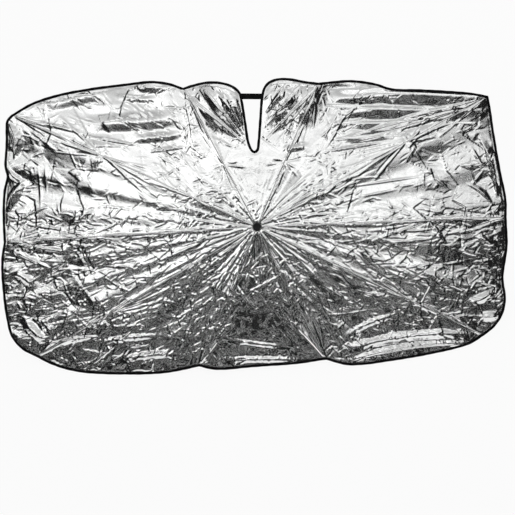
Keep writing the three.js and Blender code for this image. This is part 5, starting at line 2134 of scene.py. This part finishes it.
@dataclass
class Studio:
    """Floor, lamps and camera."""

    space: ShadeSpace
    photo_px: int = 515
    px_size: float = 0.00275
    crown_px: Point = (257.0, 227.0)
    camera_far: float = 8.0
    hem_depth: float = 0.050
    sensor: float = 36.0
    key_right_deg: float = -3.0
    key_far: float = 3.0
    key_wide: float = 5.8
    key_foot_deg: float = 6.8
    back_size: Point = (2.4, 1.4)
    back_watts: float = 14.0
    surround: float = 0.012
    floor_half: float = 12.0
    floor_white: float = 0.9
    floor_glow: float = 0.94

    # The key light's sheets: how far up each one's top edge hangs, and what it adds
    KEY_STEPS = ((20.0, 0.26), (28.0, 0.19), (37.0, 0.14), (47.0, 0.10), (60.0, 0.50))
    SOFT_BOXES = (
        SoftBox("left_softbox", 3.0, -24.0, 3.0, (1.3, 0.80), 0.85),
        SoftBox("right_softbox", 2.5, 22.0, 3.0, (1.1, 0.76), 0.75),
        SoftBox("front_strip", -17.0, 0.0, 2.9, (4.0, 0.10), 0.9),
        SoftBox("top_softbox", 78.0, 0.0, 2.6, (4.0, 1.6), 1.0),
        SoftBox("lower_strip", -36.0, 0.0, 2.9, (4.0, 0.12), 0.9),
    )

    # The lamp behind the shade and the place that it faces, in the row frame
    BACK_PLACE = (0.6, 3.0, 0.9)
    BACK_TARGET = (0.0, 0.1, 0.2)

    def build(self) -> None:
        """Makes all of it."""
        self.floor()
        self.world()
        for number, (top_deg, radiance) in enumerate(self.KEY_STEPS, 1):
            self.hang(self.key_sheet(f"key_softbox_{number}", top_deg, radiance))
        for box in self.SOFT_BOXES:
            self.hang(box)
        self.lamp("back_softbox", self.back_size, self.back_watts, Vector(self.BACK_PLACE),
                  Vector(self.BACK_TARGET))
        self.camera()

    def key_sheet(self, name: str, top_deg: float, radiance: float) -> SoftBox:
        """One of the overlapping sheets of the key light, which fades upwards.

        Args:
            name: The lamp's name.
            top_deg: How far above the face's own direction its top edge hangs.
            radiance: What it adds to the key light.

        Returns:
            The sheet.
        """
        half = math.radians(top_deg - self.key_foot_deg) / 2
        high = 2 * self.key_far * math.tan(half)
        return SoftBox(name, (top_deg + self.key_foot_deg) / 2, self.key_right_deg, self.key_far,
                       (self.key_wide, high), radiance)

    def hang(self, box: SoftBox) -> None:
        """Hangs a soft box.

        Args:
            box: The soft box.
        """
        up, right = math.radians(box.up_deg), math.radians(box.right_deg)
        toward = self.space.direction((math.sin(right) * math.cos(up), math.sin(up),
                                       math.cos(right) * math.cos(up)))
        watts = box.radiance * math.pi * box.size[0] * box.size[1]
        crown = Vector(self.space.crown)
        self.lamp(box.name, box.size, watts, crown + toward * box.far, crown)

    def lamp(self, name: str, size: Point, watts: float, place: Vector, target: Vector) -> None:
        """Makes a rectangular lamp that faces a target and that the camera doesn't see.

        Args:
            name: Its name.
            size: Its width and height.
            watts: Its power.
            place: Where it hangs.
            target: What it faces.
        """
        data = bpy.data.lights.new(name, "AREA")
        data.shape = "RECTANGLE"
        data.size, data.size_y = size
        data.energy = watts
        item = placed(name, data)
        item.location = place
        item.rotation_mode = "QUATERNION"
        item.rotation_quaternion = (target - place).to_track_quat("-Z", "Y")
        item.visible_camera = False

    def world(self) -> None:
        """Sets an even, dim studio round the scene."""
        world = bpy.data.worlds.new("studio")
        world.use_nodes = True
        background = world.node_tree.nodes["Background"]
        background.inputs["Color"].default_value = (1.0, 1.0, 1.0, 1.0)
        background.inputs["Strength"].default_value = self.surround
        bpy.context.scene.world = world

    def floor(self) -> None:
        """Lays a plain white floor, which shows white itself and keeps a soft shadow."""
        bm = bmesh.new()
        bmesh.ops.create_grid(bm, x_segments=1, y_segments=1, size=self.floor_half)
        mesh = finished("floor", bm)
        placed("floor", mesh)
        material = bpy.data.materials.new("white_floor")
        material.use_nodes = True
        kit = NodeKit(material.node_tree)
        shader = material.node_tree.nodes["Principled BSDF"]
        shader.inputs["Base Color"].default_value = (*[self.floor_white] * 3, 1.0)
        shader.inputs["Roughness"].default_value = 0.9
        path = kit.add("ShaderNodeLightPath")
        seen = kit.math("MAXIMUM", path.outputs["Is Camera Ray"], path.outputs["Is Glossy Ray"])
        seen = kit.math("MAXIMUM", seen, path.outputs["Is Transmission Ray"])
        glow = kit.add("ShaderNodeEmission", {"Color": (1.0, 1.0, 1.0, 1.0), "Strength": 1.0})
        share = kit.math("MULTIPLY", seen, self.floor_glow)
        mixed = kit.add("ShaderNodeMixShader", {0: share, 1: shader.outputs[0], 2: glow.outputs[0]})
        output = material.node_tree.nodes["Material Output"]
        material.node_tree.links.new(mixed.outputs[0], output.inputs["Surface"])
        mesh.materials.append(material)

    def camera(self) -> None:
        """Sets the camera as the photograph was taken: straight onto the silver face."""
        data = bpy.data.cameras.new("photograph")
        data.sensor_width = self.sensor
        width = self.photo_px * self.px_size
        data.lens = self.sensor * (self.camera_far + self.hem_depth) / width
        data.clip_end = 60.0
        item = placed("photograph", data)
        centre = self.photo_px / 2
        right = (centre - self.crown_px[0]) * self.px_size
        up = (self.crown_px[1] - centre) * self.px_size
        place = self.space.to_row(np.array([[right, up, self.camera_far]]))[0]
        item.matrix_world = Matrix.Translation(Vector(place)) @ self.space.matrix().to_3x3().to_4x4()
        bpy.context.scene.camera = item


def main() -> None:
    """Builds the sunshade's looks and the studio round it."""
    logging.basicConfig(level=logging.INFO, format="%(message)s")
    bpy.context.scene.view_settings.view_transform = "Standard"
    space = ShadeSpace()
    FrameLinks().dress()
    canopy = Canopy(space)
    canopy.build()
    Binding(canopy.cloth, space).build()
    NotchStrap(canopy.cloth, space).build()
    RibTies(canopy.cloth.form, space).build()
    ShaftSet(space).build()
    Studio(space).build()


if __name__ == "__main__":
    main()
